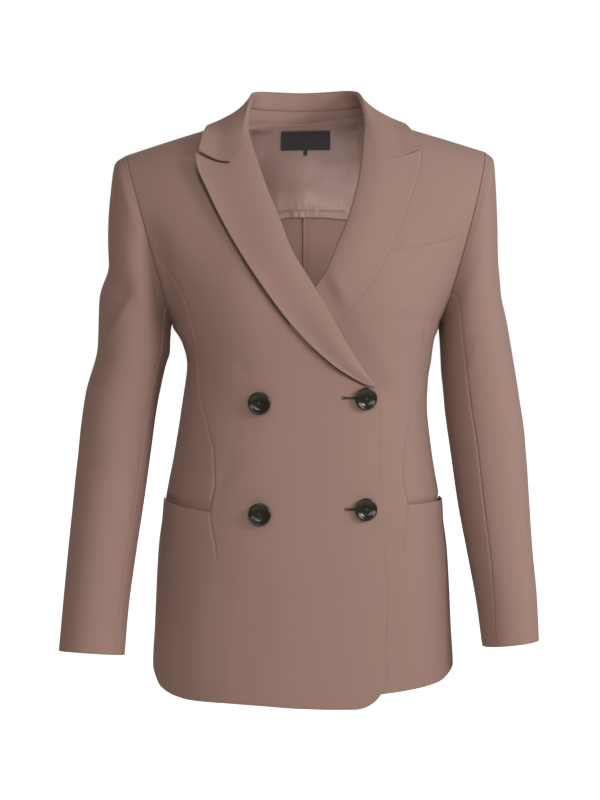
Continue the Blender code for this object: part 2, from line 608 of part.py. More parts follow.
def sleeve_piece(name, side, part, material, collection):
    """Top or under sleeve: the rings between the two seams, with the soft folds pressed in."""
    rings = np.concatenate(((0.0, 0.5, 1.0, 1.5), np.linspace(2, 12, 18)))
    front_seam = SLEEVE[side].read("front_seam", rings)
    back_seam = SLEEVE[side].read("back_seam", rings)
    half_gap = np.degrees(GAP / 2 / 0.036)
    if part == "top":
        start, end, columns = back_seam - 360 + half_gap, front_seam - half_gap, 10
    else:
        start, end, columns = front_seam + half_gap, back_seam - half_gap, 6
    angle = between(start, end, np.linspace(0, 1, columns + 1)[:, None]).T
    ring = np.repeat(rings[:, None], columns + 1, axis=1)
    outer = sleeve_points(side, ring, angle)
    near, far = np.maximum(ring - 0.02, 0), np.minimum(ring + 0.02, 12)
    along = sleeve_points(side, far, angle) - sleeve_points(side, near, angle)
    around = sleeve_points(side, ring, angle + 1) - sleeve_points(side, ring, angle - 1)
    inward = unit(np.cross(along, around))
    inward[0] = armhole_inward(outer[0])
    inward[1] = unit(inward[0] + inward[1])
    outer[0] += armhole_out() * GAP / 2
    inner = outer + inward * CLOTH
    return cloth_wall(name, mirrored(outer, side), mirrored(inner, side), material, collection)


# ---------------------------------------------------------------- collar and lapels
def curve_through(points, at):
    """Points on a smooth curve through a list of points (Catmull-Rom), at 0 to 1."""
    points = np.concatenate((2 * points[:1] - points[1:2], points, 2 * points[-1:] - points[-2:-1]))
    spans = len(points) - 3
    place = np.clip(at, -0.05, 1.05) * spans
    i = np.clip(np.floor(place).astype(int), 0, spans - 1)
    t = (place - i)[..., None]
    a, b, c, d = (np.take_along_axis(points, (i + k)[None, ..., None], axis=0)[0] for k in range(4))
    return 0.5 * (2 * b + (c - a) * t + (2 * a - 5 * b + 4 * c - d) * t ** 2
                  + (3 * b - a - 3 * c + d) * t ** 3)


def collar_points(along, across):
    """Visible face of the collar: from the neck seam up inside the neck, over the fold and down
    the fall, for places along (-1 right gorge, 0 middle back, 1 left gorge)."""
    side = np.where(along < 0, -1.0, 1.0)
    at = np.abs(along)

    def spot(name):
        values = [COLLAR.read(name + "_" + axis, at) for axis in "xyz"]
        return np.stack((values[0] * side, values[1], values[2]), axis=-1)

    neck, fold, fall, edge = (spot(name) for name in ("neck", "fold", "fall", "edge"))
    out = unit((fall - neck) * (1, 1, 0))
    down = np.array((0, 0, -1.0))
    small = FOLD_RADIUS * between(1.0, 0.45, smooth_step((at - 0.6) / 0.4))[..., None]
    inside = fold - out * small + down * small
    outside = fold + out * small + down * small
    points = np.stack((neck, between(neck, inside, 0.55), inside, fold, outside,
                       fall, between(fall, edge, 0.5), edge))
    return curve_through(points, across)


def collar(material, collection):
    """The collar (fold and fall) and, below its seam inside the neck, the stand."""
    along = np.concatenate((np.linspace(-1, -0.45, 9), np.linspace(-0.35, 0.35, 6),
                            np.linspace(0.45, 1, 9)))
    stand = np.linspace(0, COLLAR_SEAM - STAND_CLEAR, 4)
    fall = np.array((COLLAR_SEAM + STAND_CLEAR, 0.24, 0.32, 0.38, 0.44, 0.50, 0.58, 0.70, 0.85, 1.0))
    across, along = np.meshgrid(np.concatenate((stand, fall)), along, indexing="ij")
    across[:len(stand)] *= 1 - 0.25 * smooth_step((np.abs(along[:len(stand)]) - 0.5) / 0.3)
    outer = collar_points(along, across)
    normal = np.cross(collar_points(along + 0.004, across) - collar_points(along - 0.004, across),
                      collar_points(along, across + 0.008) - collar_points(along, across - 0.008))
    inner = outer - unit(normal) * CLOTH
    split = len(stand)
    cloth_wall("collar", outer[split:], inner[split:], material, collection)
    cloth_wall("collar_stand", outer[:split, 3:-3], inner[:split, 3:-3], material, collection)


def lapel(side, material, collection):
    """A peak lapel: it lies on its front from the fold to its outer edge, rolled at the fold and
    standing a little off the front at its edge. The left one starts under the right front."""
    across = np.array((0.0, 0.06, 0.14, 0.26, 0.42, 0.60, 0.80, 1.0))
    share, rise = np.meshgrid(across, np.linspace(0, 1, 18))
    top = LAPEL_TOP.read("height", share) + PEAK_DROP[side] * share
    height = between(BREAK + 0.004, top, rise)
    fold_x = ROLL.read(side, np.minimum(height, -0.014)) - 0.0008
    x = between(fold_x, LAPEL_EDGE.read(side, height), share)
    u, level = place_on_front(x, height)
    normal = body_normals(FRONT, -1, u, level)
    free = smooth_step(rise / 0.25)
    roll = LAPEL_ROLL * np.sin(np.pi * np.clip(share / 0.5, 0, 1)) * free
    stand_off = LAPEL_STAND_OFF[side] * share ** 2 * free
    hidden = overlap_sink(x, height) if side == "left" else 0 * x
    covered = smooth_step(1.5 * hidden / (2 * (CLOTH + LAYER)))
    lift = CLOTH + LAYER + (roll + stand_off) * (1 - covered) - hidden
    outer = body(FRONT, -1, u, level) + normal * lift[..., None]
    inner = outer - normal * CLOTH
    return cloth_wall("lapel_" + side, mirrored(outer, side), mirrored(inner, side),
                      material, collection)


# ---------------------------------------------------------------- small pieces
def breast_welt(material, collection):
    """The slanted welt of the breast pocket, sewn flat on the left front."""
    share, up = np.meshgrid(np.linspace(0, 1, 7), np.linspace(0, 1, 4))
    low = between(np.array(WELT[0]), np.array(WELT[1]), share[..., None])
    high = between(np.array(WELT[3]), np.array(WELT[2]), share[..., None])
    place = between(low, high, up[..., None])
    u, level = place_on_front(place[..., 0], place[..., 1])
    base = body(FRONT, -1, u, level)
    normal = body_normals(FRONT, -1, u, level)
    outer = base + normal * (WELT_CLEAR + LINING)
    cloth_wall("breast_welt", outer, base + normal * WELT_CLEAR, material, collection)


def inside_back(u, level, depth, thickness):
    """Outer and inner points of a layer inside the back, a depth below its outer face."""
    base = body(BACK, 1, u, level)
    normal = body_normals(BACK, 1, u, level)
    outer = base - normal * depth[..., None]
    return outer, outer - normal * thickness


def lining_depth(rise):
    """Depth of the half lining's outer side; it hangs looser towards its lower edge."""
    return CLOTH + LINING_CLEAR + LINING_FALL * (1 - rise)


def yoke_lining(material, collection):
    """The half lining across the shoulder blades, hanging just inside the back."""
    share, rise = np.meshgrid(np.linspace(-0.93, 0.93, 17), np.linspace(0, 1, 10))
    top = NAPE_LEVEL - 0.008 + 0 * share
    level = between(LINING_HEM - 0.004 * share ** 2, top, rise)
    outer, inner = inside_back(share, level, lining_depth(rise), LINING)
    cloth_wall("yoke_lining", outer, inner, material, collection)


def patch_on_lining(name, centre, width, low, high, thickness, material, collection):
    """A small flat piece sewn on the lining: the label and the tab below it."""
    x, level = np.meshgrid(np.linspace(centre - width / 2, centre + width / 2, 5),
                           np.linspace(low, high, 3))
    rise = (level - LINING_HEM) / (NAPE_LEVEL - LINING_HEM)
    depth = lining_depth(rise) + LINING + PATCH_CLEAR
    outer, inner = inside_back(u_at(BACK, 1, x, level), level, depth, thickness)
    cloth_wall(name, outer, inner, material, collection)


def seam_allowances(material, collection):
    """The centre back seam's two allowances, graded and pressed to the wearer's left."""
    rows = back_levels(np.array((0.0,)))[:, 0]
    rows = rows[rows < ALLOWANCE_TOP]
    rows[0] += 0.004
    for number, (name, width) in enumerate((("lower", 0.0066), ("upper", 0.0042))):
        x, level = np.meshgrid(np.linspace(0.0004, width, 2), rows)
        depth = CLOTH + 2 * GAP + number * (LINING + GAP) + 0 * x
        outer, inner = inside_back(u_at(BACK, 1, x, level), level, depth, LINING)
        cloth_wall("seam_allowance_" + name, outer, inner, material, collection)


def button(name, x, z, front, material, collection):
    """A turned horn button: a raised rim, a dished middle and a short neck that sits on the
    nearest face of the front."""
    radius = BUTTON_RADIUS
    profile = ((0.0, 0.0044), (0.0055, 0.0044), (0.0080, 0.0052), (0.0105, 0.0060),
               (0.0120, 0.0058), (radius, 0.0046), (0.0124, 0.0030), (0.0040, 0.0024),
               (0.0036, 0.0), (0.0, 0.0))
    mesh = bpy.data.meshes.new(name)
    points = [(across, 0, up) for across, up in profile]
    mesh.from_pydata(points, [(i, i + 1) for i in range(len(points) - 1)], [])
    thing = add_object(name, mesh, material, collection)
    screw = thing.modifiers.new("turned", "SCREW")
    screw.steps = 24
    screw.render_steps = 24
    screw.use_merge_vertices = True
    screw.merge_threshold = 0.00001
    u, level = place_on_front(-x, z)
    seat, normal = front.closest_point_on_mesh(mirrored(body(FRONT, -1, u, level), "right"))[1:3]
    thing.location = seat + normal * BUTTON_CLEAR
    thing.rotation_euler = (0, math.acos(normal[2]), math.atan2(normal[1], normal[0]))
    return thing


def buttons(front, material, collection):
    """Two columns and two rows of buttons on the right front."""
    bpy.context.view_layer.update()
    for row, z in zip(("upper", "lower"), BUTTON_ROWS):
        for column, way in (("edge", 1), ("inner", -1)):
            x = BUTTON_SHIFT + way * BUTTON_COLUMN
            button("button_" + row + "_" + column, x, z + way * BUTTON_TILT, front,
                   material, collection)


# ---------------------------------------------------------------- the garment
def build():
    """Clears the scene and makes every piece."""
    for thing in list(bpy.data.objects):
        bpy.data.objects.remove(thing, do_unlink=True)
    collection = bpy.data.collections.new("double_breasted_blazer")
    bpy.context.scene.collection.children.link(collection)
    crepe = make_material("crepe", (0.30, 0.17, 0.135), 0.85)
    satin = make_material("satin_lining", (0.27, 0.15, 0.12), 0.45)
    woven = make_material("label_weave", (0.030, 0.028, 0.030), 0.7)
    horn = make_material("dark_horn", (0.020, 0.016, 0.011), 0.25)
    front = front_panel("right", crepe, collection)
    front_panel("left", crepe, collection)
    for side in ("right", "left"):
        side_front_panel(side, crepe, collection)
        back_panel(side, crepe, collection)
        sleeve_piece("top_sleeve_" + side, side, "top", crepe, collection)
        sleeve_piece("under_sleeve_" + side, side, "under", crepe, collection)
        lapel(side, crepe, collection)
    collar(crepe, collection)
    breast_welt(crepe, collection)
    yoke_lining(satin, collection)
    patch_on_lining("label", 0.0037, 0.059, -0.0250, -0.0025, 0.0008, woven, collection)
    patch_on_lining("size_tab", 0.0020, 0.005, -0.0310, -0.0256, 0.0006, woven, collection)
    seam_allowances(crepe, collection)
    buttons(front, horn, collection)


build()
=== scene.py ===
import math

import bpy
import numpy as np
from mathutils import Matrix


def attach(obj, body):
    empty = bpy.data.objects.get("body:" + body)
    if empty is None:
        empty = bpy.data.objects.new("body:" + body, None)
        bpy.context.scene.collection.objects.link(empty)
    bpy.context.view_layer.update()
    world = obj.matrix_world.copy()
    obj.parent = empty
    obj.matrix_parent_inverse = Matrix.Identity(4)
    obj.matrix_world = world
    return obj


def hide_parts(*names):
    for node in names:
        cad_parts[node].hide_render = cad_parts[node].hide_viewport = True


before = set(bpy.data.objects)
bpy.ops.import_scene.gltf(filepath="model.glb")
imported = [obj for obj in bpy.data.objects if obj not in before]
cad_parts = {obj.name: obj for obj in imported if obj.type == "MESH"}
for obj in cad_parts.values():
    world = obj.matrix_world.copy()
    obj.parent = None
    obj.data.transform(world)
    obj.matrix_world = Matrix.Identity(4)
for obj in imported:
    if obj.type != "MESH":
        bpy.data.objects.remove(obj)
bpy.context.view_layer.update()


# ================================================================ camera, floor and light
# A plain pale floor in a white room, soft light from the wearer's left, and a camera at chest
# height, a little to the wearer's right and tipped down.
CAMERA_TURN = 2.5
CAMERA_TIP = 3.35
CAMERA_DISTANCE = 2.61
CAMERA_AIM = -0.172
CAMERA_SHIFT = 0.007
FLOOR = -1.42
FLOOR_HALF = 20

camera = bpy.data.objects.new("camera", bpy.data.cameras.new("camera"))
camera.data.lens = 100
camera.data.sensor_width = 36
turn = math.radians(CAMERA_TURN)
camera.location = (-CAMERA_DISTANCE * math.sin(turn) - CAMERA_SHIFT * math.cos(turn),
                   -CAMERA_DISTANCE * math.cos(turn) + CAMERA_SHIFT * math.sin(turn), CAMERA_AIM)
camera.rotation_euler = (math.radians(90 - CAMERA_TIP), 0, -turn)
bpy.context.scene.collection.objects.link(camera)
bpy.context.scene.camera = camera
bpy.context.scene.view_settings.view_transform = "Standard"


def set_inputs(node, **values):
    """Sets inputs of a node, each named with _ for a space."""
    for name, value in values.items():
        node.inputs[name.replace("_", " ")].default_value = value


def new_material(name, **values):
    """A material, its shader with inputs set to constants, and its node tree."""
    material = bpy.data.materials.new(name)
    material.use_nodes = True
    shader = material.node_tree.nodes["Principled BSDF"]
    set_inputs(shader, **values)
    return material, shader, material.node_tree


def noise(tree, **values):
    """Noise in the object's own coordinates."""
    place = tree.nodes.new("ShaderNodeTexCoord")
    texture = tree.nodes.new("ShaderNodeTexNoise")
    set_inputs(texture, **values)
    tree.links.new(place.outputs["Object"], texture.inputs["Vector"])
    return texture.outputs["Fac"]


def shade_by(tree, factor, low, high, socket):
    """Gives a socket a colour that goes from low to high with a factor."""
    mix = tree.nodes.new("ShaderNodeMix")
    mix.data_type = "RGBA"
    set_inputs(mix, A=(*low, 1), B=(*high, 1))
    tree.links.new(factor, mix.inputs["Factor"])
    tree.links.new(mix.outputs["Result"], socket)


def seen_by_camera(tree):
    """1 where the camera sees a surface itself, 0 in its light and reflections."""
    return tree.nodes.new("ShaderNodeLightPath").outputs["Is Camera Ray"]


floor_material, shader, tree = new_material("studio_floor", Roughness=0.9, Emission_Color=(1, 1, 1, 1))
shade_by(tree, noise(tree, Scale=3), (0.88, 0.88, 0.88), (0.91, 0.91, 0.91), shader.inputs["Base Color"])
tree.links.new(seen_by_camera(tree), shader.inputs["Emission Strength"])
floor_mesh = bpy.data.meshes.new("floor")
corners = ((-1, -1), (1, -1), (1, 1), (-1, 1))
floor_mesh.from_pydata([(x * FLOOR_HALF, y * FLOOR_HALF, FLOOR) for x, y in corners], [], [(0, 1, 2, 3)])
floor_mesh.materials.append(floor_material)
floor = bpy.data.objects.new("floor", floor_mesh)
bpy.context.scene.collection.objects.link(floor)

world = bpy.data.worlds.new("studio")
bpy.context.scene.world = world
world.use_nodes = True
shade_by(world.node_tree, seen_by_camera(world.node_tree), (0.215, 0.172, 0.144), (1, 1, 1),
         world.node_tree.nodes["Background"].inputs["Color"])

for name, colour, spot, aim, size, spread, power in (
        ("key", (0.94, 0.94, 1.0), (2.0, -1.75, 0.62), (0.05, 0, -0.25), 0.7, 180, 39),
        ("side", (0.70, 0.91, 1.0), (2.502, -0.911, 0.615), (0.05, 0, -0.25), 0.7, 180, 14),
        ("rim", (0.60, 0.88, 1.0), (2.388, 0.421, 1.150), (0.05, 0, -0.25), 0.7, 180, 14),
        ("front", (0.88, 0.93, 1.0), (0.6, -2.7, 0.25), (0.05, 0, -0.35), 0.8, 180, 10),
        ("fill", (0.86, 0.92, 1.0), (-0.6, -2.63, 0.4), (0, 0, -0.15), 1.0, 180, 18.5),
        ("top", (0.80, 0.93, 1.0), (-0.6, -1.2, 2.3), (0, 0, -0.2), 1.0, 180, 11),
        ("back", (1, 1, 1), (-0.9, 3.0, 0.9), (0, 0, -0.25), 1.6, 180, 26),
        ("inside", (1, 0.98, 0.98), (0.045, -0.03, -0.104), (-0.005, 0.09, -0.128), 0.05, 160, 0.082)):
    lamp = bpy.data.lights.new(name, "AREA")
    lamp.spread = math.radians(spread)
    lamp.size = size
    lamp.energy = power
    lamp.color = colour
    light = bpy.data.objects.new(name, lamp)
    light.location = spot
    away = np.array(spot) - np.array(aim)
    light.rotation_euler = (math.atan2(math.hypot(away[0], away[1]), away[2]), 0,
                            math.atan2(away[1], away[0]) + math.pi / 2)
    bpy.context.scene.collection.objects.link(light)


# ================================================================ fronts
# The two fronts are cut from crepe suiting with a facing behind the edge. Each runs from its
# edge and the lapel's fold to the panel seam, and below the pocket's mouth on to the side seam.
# The right front laps over and has a rounded lower corner.
CLOTH = 0.0016
GAP = 0.0005
SIDE_Y = 0.012
UNDERARM = -0.235
SHOULDER = 0.025
FRONT_HEM = -0.668
BREAK = -0.306
HEM_CORNER = {"right": 0.036, "left": 0.012}
POCKET_MOUTH = -0.4405
POCKET_GAPE = 0.0030
SEAM_TOP = -0.145
SHOULDER_TILT = 0.013
TILT_RISE = (-0.25, -0.05)
BUST_LIFT = 0.0085
BUST_ACROSS = (0.085, 0.050)
BUST_UP = (-0.205, 0.060)
SEAM_SLIT = 0.00012
EDGE_LIP = 0.0008
SEAM_LIP = 0.0002
NEAR = 0.0001


class Table:
    """A short table with named columns, read between its rows on a smooth monotone curve: each
    row's slope is the harmonic mean of its two neighbours', or none where they differ in sign."""

    def __init__(self, names, rows):
        self.names = names.split()
        self.rows = np.array(rows, dtype=float)

    def read(self, name, at):
        x = self.rows[:, 0]
        y = self.rows[:, self.names.index(name)]
        step = np.diff(x)
        rate = np.diff(y) / step
        slope = np.zeros(len(x))
        slope[0] = rate[0]
        slope[-1] = rate[-1]
        same = rate[:-1] * rate[1:] > 0
        mean = 2 * rate[:-1] * rate[1:] / np.where(same, rate[:-1] + rate[1:], 1)
        slope[1:-1] = np.where(same, mean, 0)
        at = np.asarray(at, dtype=float)
        i = np.clip(np.searchsorted(x, at) - 1, 0, len(x) - 2)
        t = np.clip((at - x[i]) / step[i], 0, 1)
        start = y[i] * (1 + 2 * t) * (1 - t) ** 2 + slope[i] * step[i] * t * (1 - t) ** 2
        end = y[i + 1] * t ** 2 * (3 - 2 * t) + slope[i + 1] * step[i] * t ** 2 * (t - 1)
        return start + end


FRONT = Table("level depth half square arm turn power", (
    (-0.680, 0.1292, 0.1775, 2.45, 180, 90, 2.0),
    (-0.636, 0.1290, 0.1775, 2.45, 180, 90, 2.0),
    (-0.595, 0.1285, 0.1752, 2.45, 180, 90, 2.0),
    (-0.500, 0.1270, 0.1700, 2.45, 180, 90, 2.0),
    (-0.440, 0.1245, 0.1610, 2.50, 180, 90, 2.0),
    (-0.385, 0.1210, 0.1510, 2.55, 180, 90, 2.0),
    (-0.325, 0.1190, 0.1435, 2.60, 180, 90, 2.0),
    (-0.295, 0.1200, 0.1423, 2.60, 180, 90, 2.0),
    (-0.275, 0.1215, 0.1440, 2.55, 180, 90, 2.0),
    (-0.254, 0.1235, 0.1487, 2.50, 180, 90, 2.0),
    (-0.235, 0.1250, 0.1570, 2.40, 180, 90, 2.0),
    (-0.218, 0.1255, 0.1570, 2.35, 150, 80, 2.0),
    (-0.195, 0.1245, 0.1570, 2.30, 130, 70, 2.0),
    (-0.165, 0.1200, 0.1570, 2.25, 110, 62, 2.0),
    (-0.130, 0.1105, 0.1570, 2.20, 90, 55, 2.0),
    (-0.093, 0.0970, 0.1570, 2.15, 70, 50, 1.9),
    (-0.058, 0.0800, 0.1570, 2.10, 50, 45, 1.7),
    (-0.026, 0.0580, 0.1570, 2.05, 30, 40, 1.4),
    (-0.002, 0.0360, 0.1570, 2.00, 15, 35, 1.2),
    (0.025, -0.0060, 0.1570, 2.00, 0, 30, 1.03)))
BACK = Table("level depth half square arm turn power", (
    (-0.680, 0.1120, 0.1775, 2.30, 180, 90, 2.0),
    (-0.636, 0.1120, 0.1775, 2.30, 180, 90, 2.0),
    (-0.595, 0.1115, 0.1752, 2.30, 180, 90, 2.0),
    (-0.500, 0.1060, 0.1700, 2.30, 180, 90, 2.0),
    (-0.440, 0.0950, 0.1610, 2.30, 180, 90, 2.0),
    (-0.385, 0.0820, 0.1510, 2.35, 180, 90, 2.0),
    (-0.325, 0.0740, 0.1435, 2.40, 180, 90, 2.0),
    (-0.295, 0.0748, 0.1423, 2.40, 180, 90, 2.0),
    (-0.275, 0.0768, 0.1440, 2.40, 180, 90, 2.0),
    (-0.254, 0.0810, 0.1487, 2.40, 180, 90, 2.0),
    (-0.235, 0.0860, 0.1570, 2.35, 180, 90, 2.0),
    (-0.218, 0.0900, 0.1570, 2.30, 150, 82, 2.0),
    (-0.195, 0.0940, 0.1570, 2.30, 130, 74, 2.0),
    (-0.165, 0.0975, 0.1570, 2.30, 110, 66, 2.0),
    (-0.130, 0.0985, 0.1570, 2.30, 90, 60, 2.0),
    (-0.093, 0.0955, 0.1570, 2.25, 70, 54, 2.0),
    (-0.058, 0.0890, 0.1570, 2.20, 50, 48, 1.9),
    (-0.028, 0.0780, 0.1570, 2.15, 32, 42, 1.7),
    (-0.006, 0.0660, 0.1570, 2.10, 20, 36, 1.4),
    (0.010, 0.0460, 0.1570, 2.05, 10, 32, 1.2),
    (0.025, 0.0060, 0.1570, 2.00, 0, 30, 1.03)))
SWAY = Table("level shift", (
    (-0.680, -0.0035), (-0.420, -0.0040), (-0.385, -0.0035), (-0.340, -0.0025), (-0.300, 0.0012),
    (-0.277, 0.0040), (-0.262, 0.0030), (-0.240, 0.0)))
EDGE = Table("height x", (
    (-0.680, 0.0855), (-0.624, 0.0860), (-0.578, 0.0866), (-0.498, 0.0832), (-0.440, 0.0792),
    (-0.306, 0.0774)))
HEM = Table("x right left", (
    (-0.0860, -0.6680, -0.6560),
    (-0.0300, -0.6672, -0.6552),
    (0.0150, -0.6655, -0.6540),
    (0.0600, -0.6625, -0.6528),
    (0.0800, -0.6617, -0.6520),
    (0.1000, -0.6612, -0.6506),
    (0.1130, -0.6613, -0.6494),
    (0.1360, -0.6615, -0.6474),
    (0.1545, -0.6594, -0.6452),
    (0.1700, -0.6534, -0.6382),
    (0.1775, -0.6400, -0.6340)))
ROLL = Table("height right left", (
    (-0.306, -0.0750, -0.0750),
    (-0.285, -0.0611, -0.0590),
    (-0.249, -0.0372, -0.0330),
    (-0.207, -0.0133, -0.0060),
    (-0.172, 0.0082, 0.0175),
    (-0.151, 0.0205, 0.0265),
    (-0.114, 0.0345, 0.0425),
    (-0.072, 0.0505, 0.0550),
    (-0.045, 0.0590, 0.0605),
    (-0.013, 0.0680, 0.0650),
    (0.006, 0.0750, 0.0750)))
LAPEL_EDGE = Table("height right left", (
    (-0.3060, -0.0738, -0.0738),
    (-0.2980, -0.0571, -0.0550),
    (-0.2760, -0.0233, -0.0190),
    (-0.2310, 0.0227, 0.0280),
    (-0.1960, 0.0496, 0.0590),
    (-0.1630, 0.0714, 0.0810),
    (-0.1216, 0.0948, 0.1016),
    (-0.0840, 0.1130, 0.1165),
    (-0.0560, 0.1248, 0.1262),
    (-0.0400, 0.1268, 0.1290),
    (0.0000, 0.1282, 0.1305)))
PANEL_SEAM = Table("height x", (
    (-0.680, 0.1040), (-0.503, 0.1060), (-0.441, 0.1120), (-0.411, 0.1075), (-0.380, 0.1085),
    (-0.350, 0.1152), (-0.300, 0.1270), (-0.254, 0.1303), (-0.214, 0.1380), (-0.190, 0.1484),
    (-0.165, 0.1637), (-0.145, 0.1850)))
ARMHOLE = Table("place x z", ((0, 0.2105, -0.0360), (180, 0.1570, -0.2350)))
ARMHOLE_DEEP = 0.0720
ARMHOLE_SQUARE = 2.1


def smooth_step(x):
    """0 below 0, 1 above 1 and a soft S between."""
    x = np.clip(x, 0, 1)
    return x * x * (3 - 2 * x)


def ramp(x, start, end):
    """0 before start, 1 past end and a soft S between. Start may be the larger."""
    return smooth_step((x - start) / (end - start))


def bell(x, middle, width):
    """1 at the middle and falling away to nothing on both sides."""
    return np.exp(-((x - middle) / width) ** 2)


def between(a, b, share):
    """The value that lies a share of the way from a to b."""
    return a + (b - a) * share


def unit(vectors):
    """Vectors at length one."""
    return vectors / np.linalg.norm(vectors, axis=-1, keepdims=True)


def signed_power(x, power):
    """A power that keeps the sign."""
    return np.sign(x) * np.abs(x) ** power


def oval(high, low, deep, angle, pitch=0.0, mid_y=SIDE_Y):
    """A soft ellipse: high and low are the x and z of its two ends, deep its half depth, and
    pitch how far its front is raised. Angle 0 is at high, 90 in front and 180 at low."""
    radians = np.radians(angle)
    across = signed_power(np.cos(radians), 2 / ARMHOLE_SQUARE)
    forward = signed_power(np.sin(radians), 2 / ARMHOLE_SQUARE) * deep
    x = (high[0] + low[0]) / 2 + (high[0] - low[0]) / 2 * across
    z = (high[1] + low[1]) / 2 + (high[1] - low[1]) / 2 * across + pitch * forward
    return np.stack(np.broadcast_arrays(x, mid_y - forward, z), axis=-1)


def armhole(angle):
    """Points of the armhole seam."""
    return oval(ARMHOLE.rows[0, 1:], ARMHOLE.rows[1, 1:], ARMHOLE_DEEP, angle)


def row_end(table, level, facing):
    """Outer end of a body row: the side seam below the underarm, the armhole above it."""
    side = np.stack(np.broadcast_arrays(table.read("half", level), SIDE_Y, level), axis=-1)
    hole = armhole(table.read("arm", level) * -facing)
    return np.where((level > UNDERARM)[..., None], hole, side)


def bust(x, z):
    """How far the bust shaping lifts the front: a low round hill on each side."""
    return BUST_LIFT * bell(np.abs(x), *BUST_ACROSS) * bell(z, *BUST_UP)


def body(table, facing, u, level):
    """Outer face of the body. u runs from 0 at the centre to 1 at the side or armhole. A row is
    a soft ellipse's arc that has turned by the table's turn at its outer end."""
    u, level = np.broadcast_arrays(np.asarray(u, dtype=float), np.asarray(level, dtype=float))
    end = row_end(table, level, facing)
    turned = np.radians(table.read("turn", level))
    power = 2 / table.read("square", level)
    angle = np.abs(u) * turned
    across = np.sign(u) * np.sin(angle) ** power / np.sin(turned) ** power
    bend = (1 - np.abs(np.cos(angle)) ** power) / (1 - np.abs(np.cos(turned)) ** power)
    x = end[..., 0] * across
    y = between(facing * table.read("depth", level), end[..., 1], bend)
    z = between(level, end[..., 2], np.abs(u) ** table.read("power", level))
    if facing < 0:
        y = y - bust(x, z)
    return np.stack((x, y, z), axis=-1)


def body_normals(table, facing, u, level):
    """Unit normals of the body, outwards, from small steps along its rows and up its columns."""
    far = np.minimum(u + 0.002, 1.0)
    high = np.minimum(level + 0.001, SHOULDER)
    across = body(table, facing, far, level) - body(table, facing, far - 0.004, level)
    rise = body(table, facing, u, high) - body(table, facing, u, high - 0.002)
    return unit(np.cross(across, rise)) * -facing


def u_at(table, facing, x, level):
    """The u at which a row reaches a distance x from the centre."""
    level = np.asarray(level, dtype=float)
    turned = np.radians(table.read("turn", level))
    power = 2 / table.read("square", level)
    share = np.clip(np.abs(x) / row_end(table, level, facing)[..., 0] * np.sin(turned) ** power, 0, 1)
    return np.sign(x) * np.arcsin(np.minimum(share ** (1 / power), np.sin(turned))) / turned


def u_on_line(line, column, level):
    """The u at which a front row crosses a line given as distance from the centre by height."""
    height = np.array(level, dtype=float)
    for _ in range(8):
        u = u_at(FRONT, -1, line.read(column, height), level)
        height = body(FRONT, -1, u, level)[..., 2]
    return u


def place_on_front(x, z):
    """The u and level of the front's point with the given x and z, by halving the range."""
    x, z = np.broadcast_arrays(np.asarray(x, dtype=float), np.asarray(z, dtype=float))
    low = np.full(x.shape, FRONT.rows[0, 0])
    high = np.full(x.shape, SHOULDER)
    for _ in range(30):
        level = (low + high) / 2
        height = body(FRONT, -1, u_at(FRONT, -1, x, level), level)[..., 2]
        low = np.where(height < z, level, low)
        high = np.where(height < z, high, level)
    return u_at(FRONT, -1, x, level), level


def along_line(x, z, x1, z1, x2, z2):
    """The share of the way from one point to another, and the distance to the line's right."""
    way = np.array((x2 - x1, z2 - z1))
    length = math.hypot(*way)
    way = way / length
    share = ((x - x1) * way[0] + (z - z1) * way[1]) / length
    return share, (x - x1) * way[1] - (z - z1) * way[0]


def folds_at(table, x, z):
    """Sum of soft folds: each a ridge or trough along a line from one point to another, with a
    bell-shaped section that fades towards both ends."""
    lift = np.zeros(np.broadcast(x, z).shape)
    for x1, z1, x2, z2, width, height in table:
        share, off = along_line(x, z, x1, z1, x2, z2)
        fade = smooth_step(0.5 + share * 2) * smooth_step(2.5 - share * 2)
        lift += height * bell(off, 0, width) * fade
    return lift


# x1, z1, x2, z2 on the wearer's own side, width and height of each fold
FRONT_FOLDS = {
    "right": ((0.105, -0.425, 0.088, -0.385, 0.008, -0.0012),
              (0.072, -0.290, 0.082, -0.277, 0.006, -0.0010),
              (0.125, -0.300, 0.070, -0.345, 0.018, -0.0012),
              (0.120, -0.520, 0.135, -0.640, 0.016, 0.0018),
              (0.060, -0.520, 0.075, -0.650, 0.020, -0.0014),
              (0.020, -0.330, 0.010, -0.430, 0.022, -0.0008),
              (0.095, -0.170, 0.135, -0.120, 0.014, -0.0010)),
    "left": ((0.110, -0.300, 0.085, -0.350, 0.014, -0.0012),
             (0.120, -0.520, 0.130, -0.640, 0.014, 0.0016),
             (0.150, -0.560, 0.158, -0.640, 0.012, -0.0014),
             (0.095, -0.170, 0.135, -0.120, 0.014, -0.0008)),
}
ARMHOLE_VALLEY = {"right": 0.0100, "left": 0.0030}
VALLEY_X = (0.1565, 0.190)
VALLEY_Z = (-0.215, -0.085)
VALLEY_WIDTH = {"body": 0.012, "sleeve": 0.020}


def armhole_valley(points, side):
    """How far the cloth on both sides of the armhole seam falls back in front, below the chest."""
    x, z = points[..., 0], points[..., 2]
    up = np.clip((z - VALLEY_Z[0]) / (VALLEY_Z[1] - VALLEY_Z[0]), 0, 1)
    seam = between(*VALLEY_X, up ** 1.2)
    width = np.where(x < seam, VALLEY_WIDTH["body"], VALLEY_WIDTH["sleeve"])
    reach = ramp(z, -0.100, -0.160) * ramp(z, -0.245, -0.225) * ramp(points[..., 1], 0.004, -0.026)
    return ARMHOLE_VALLEY[side] * bell(x, seam, width) * reach


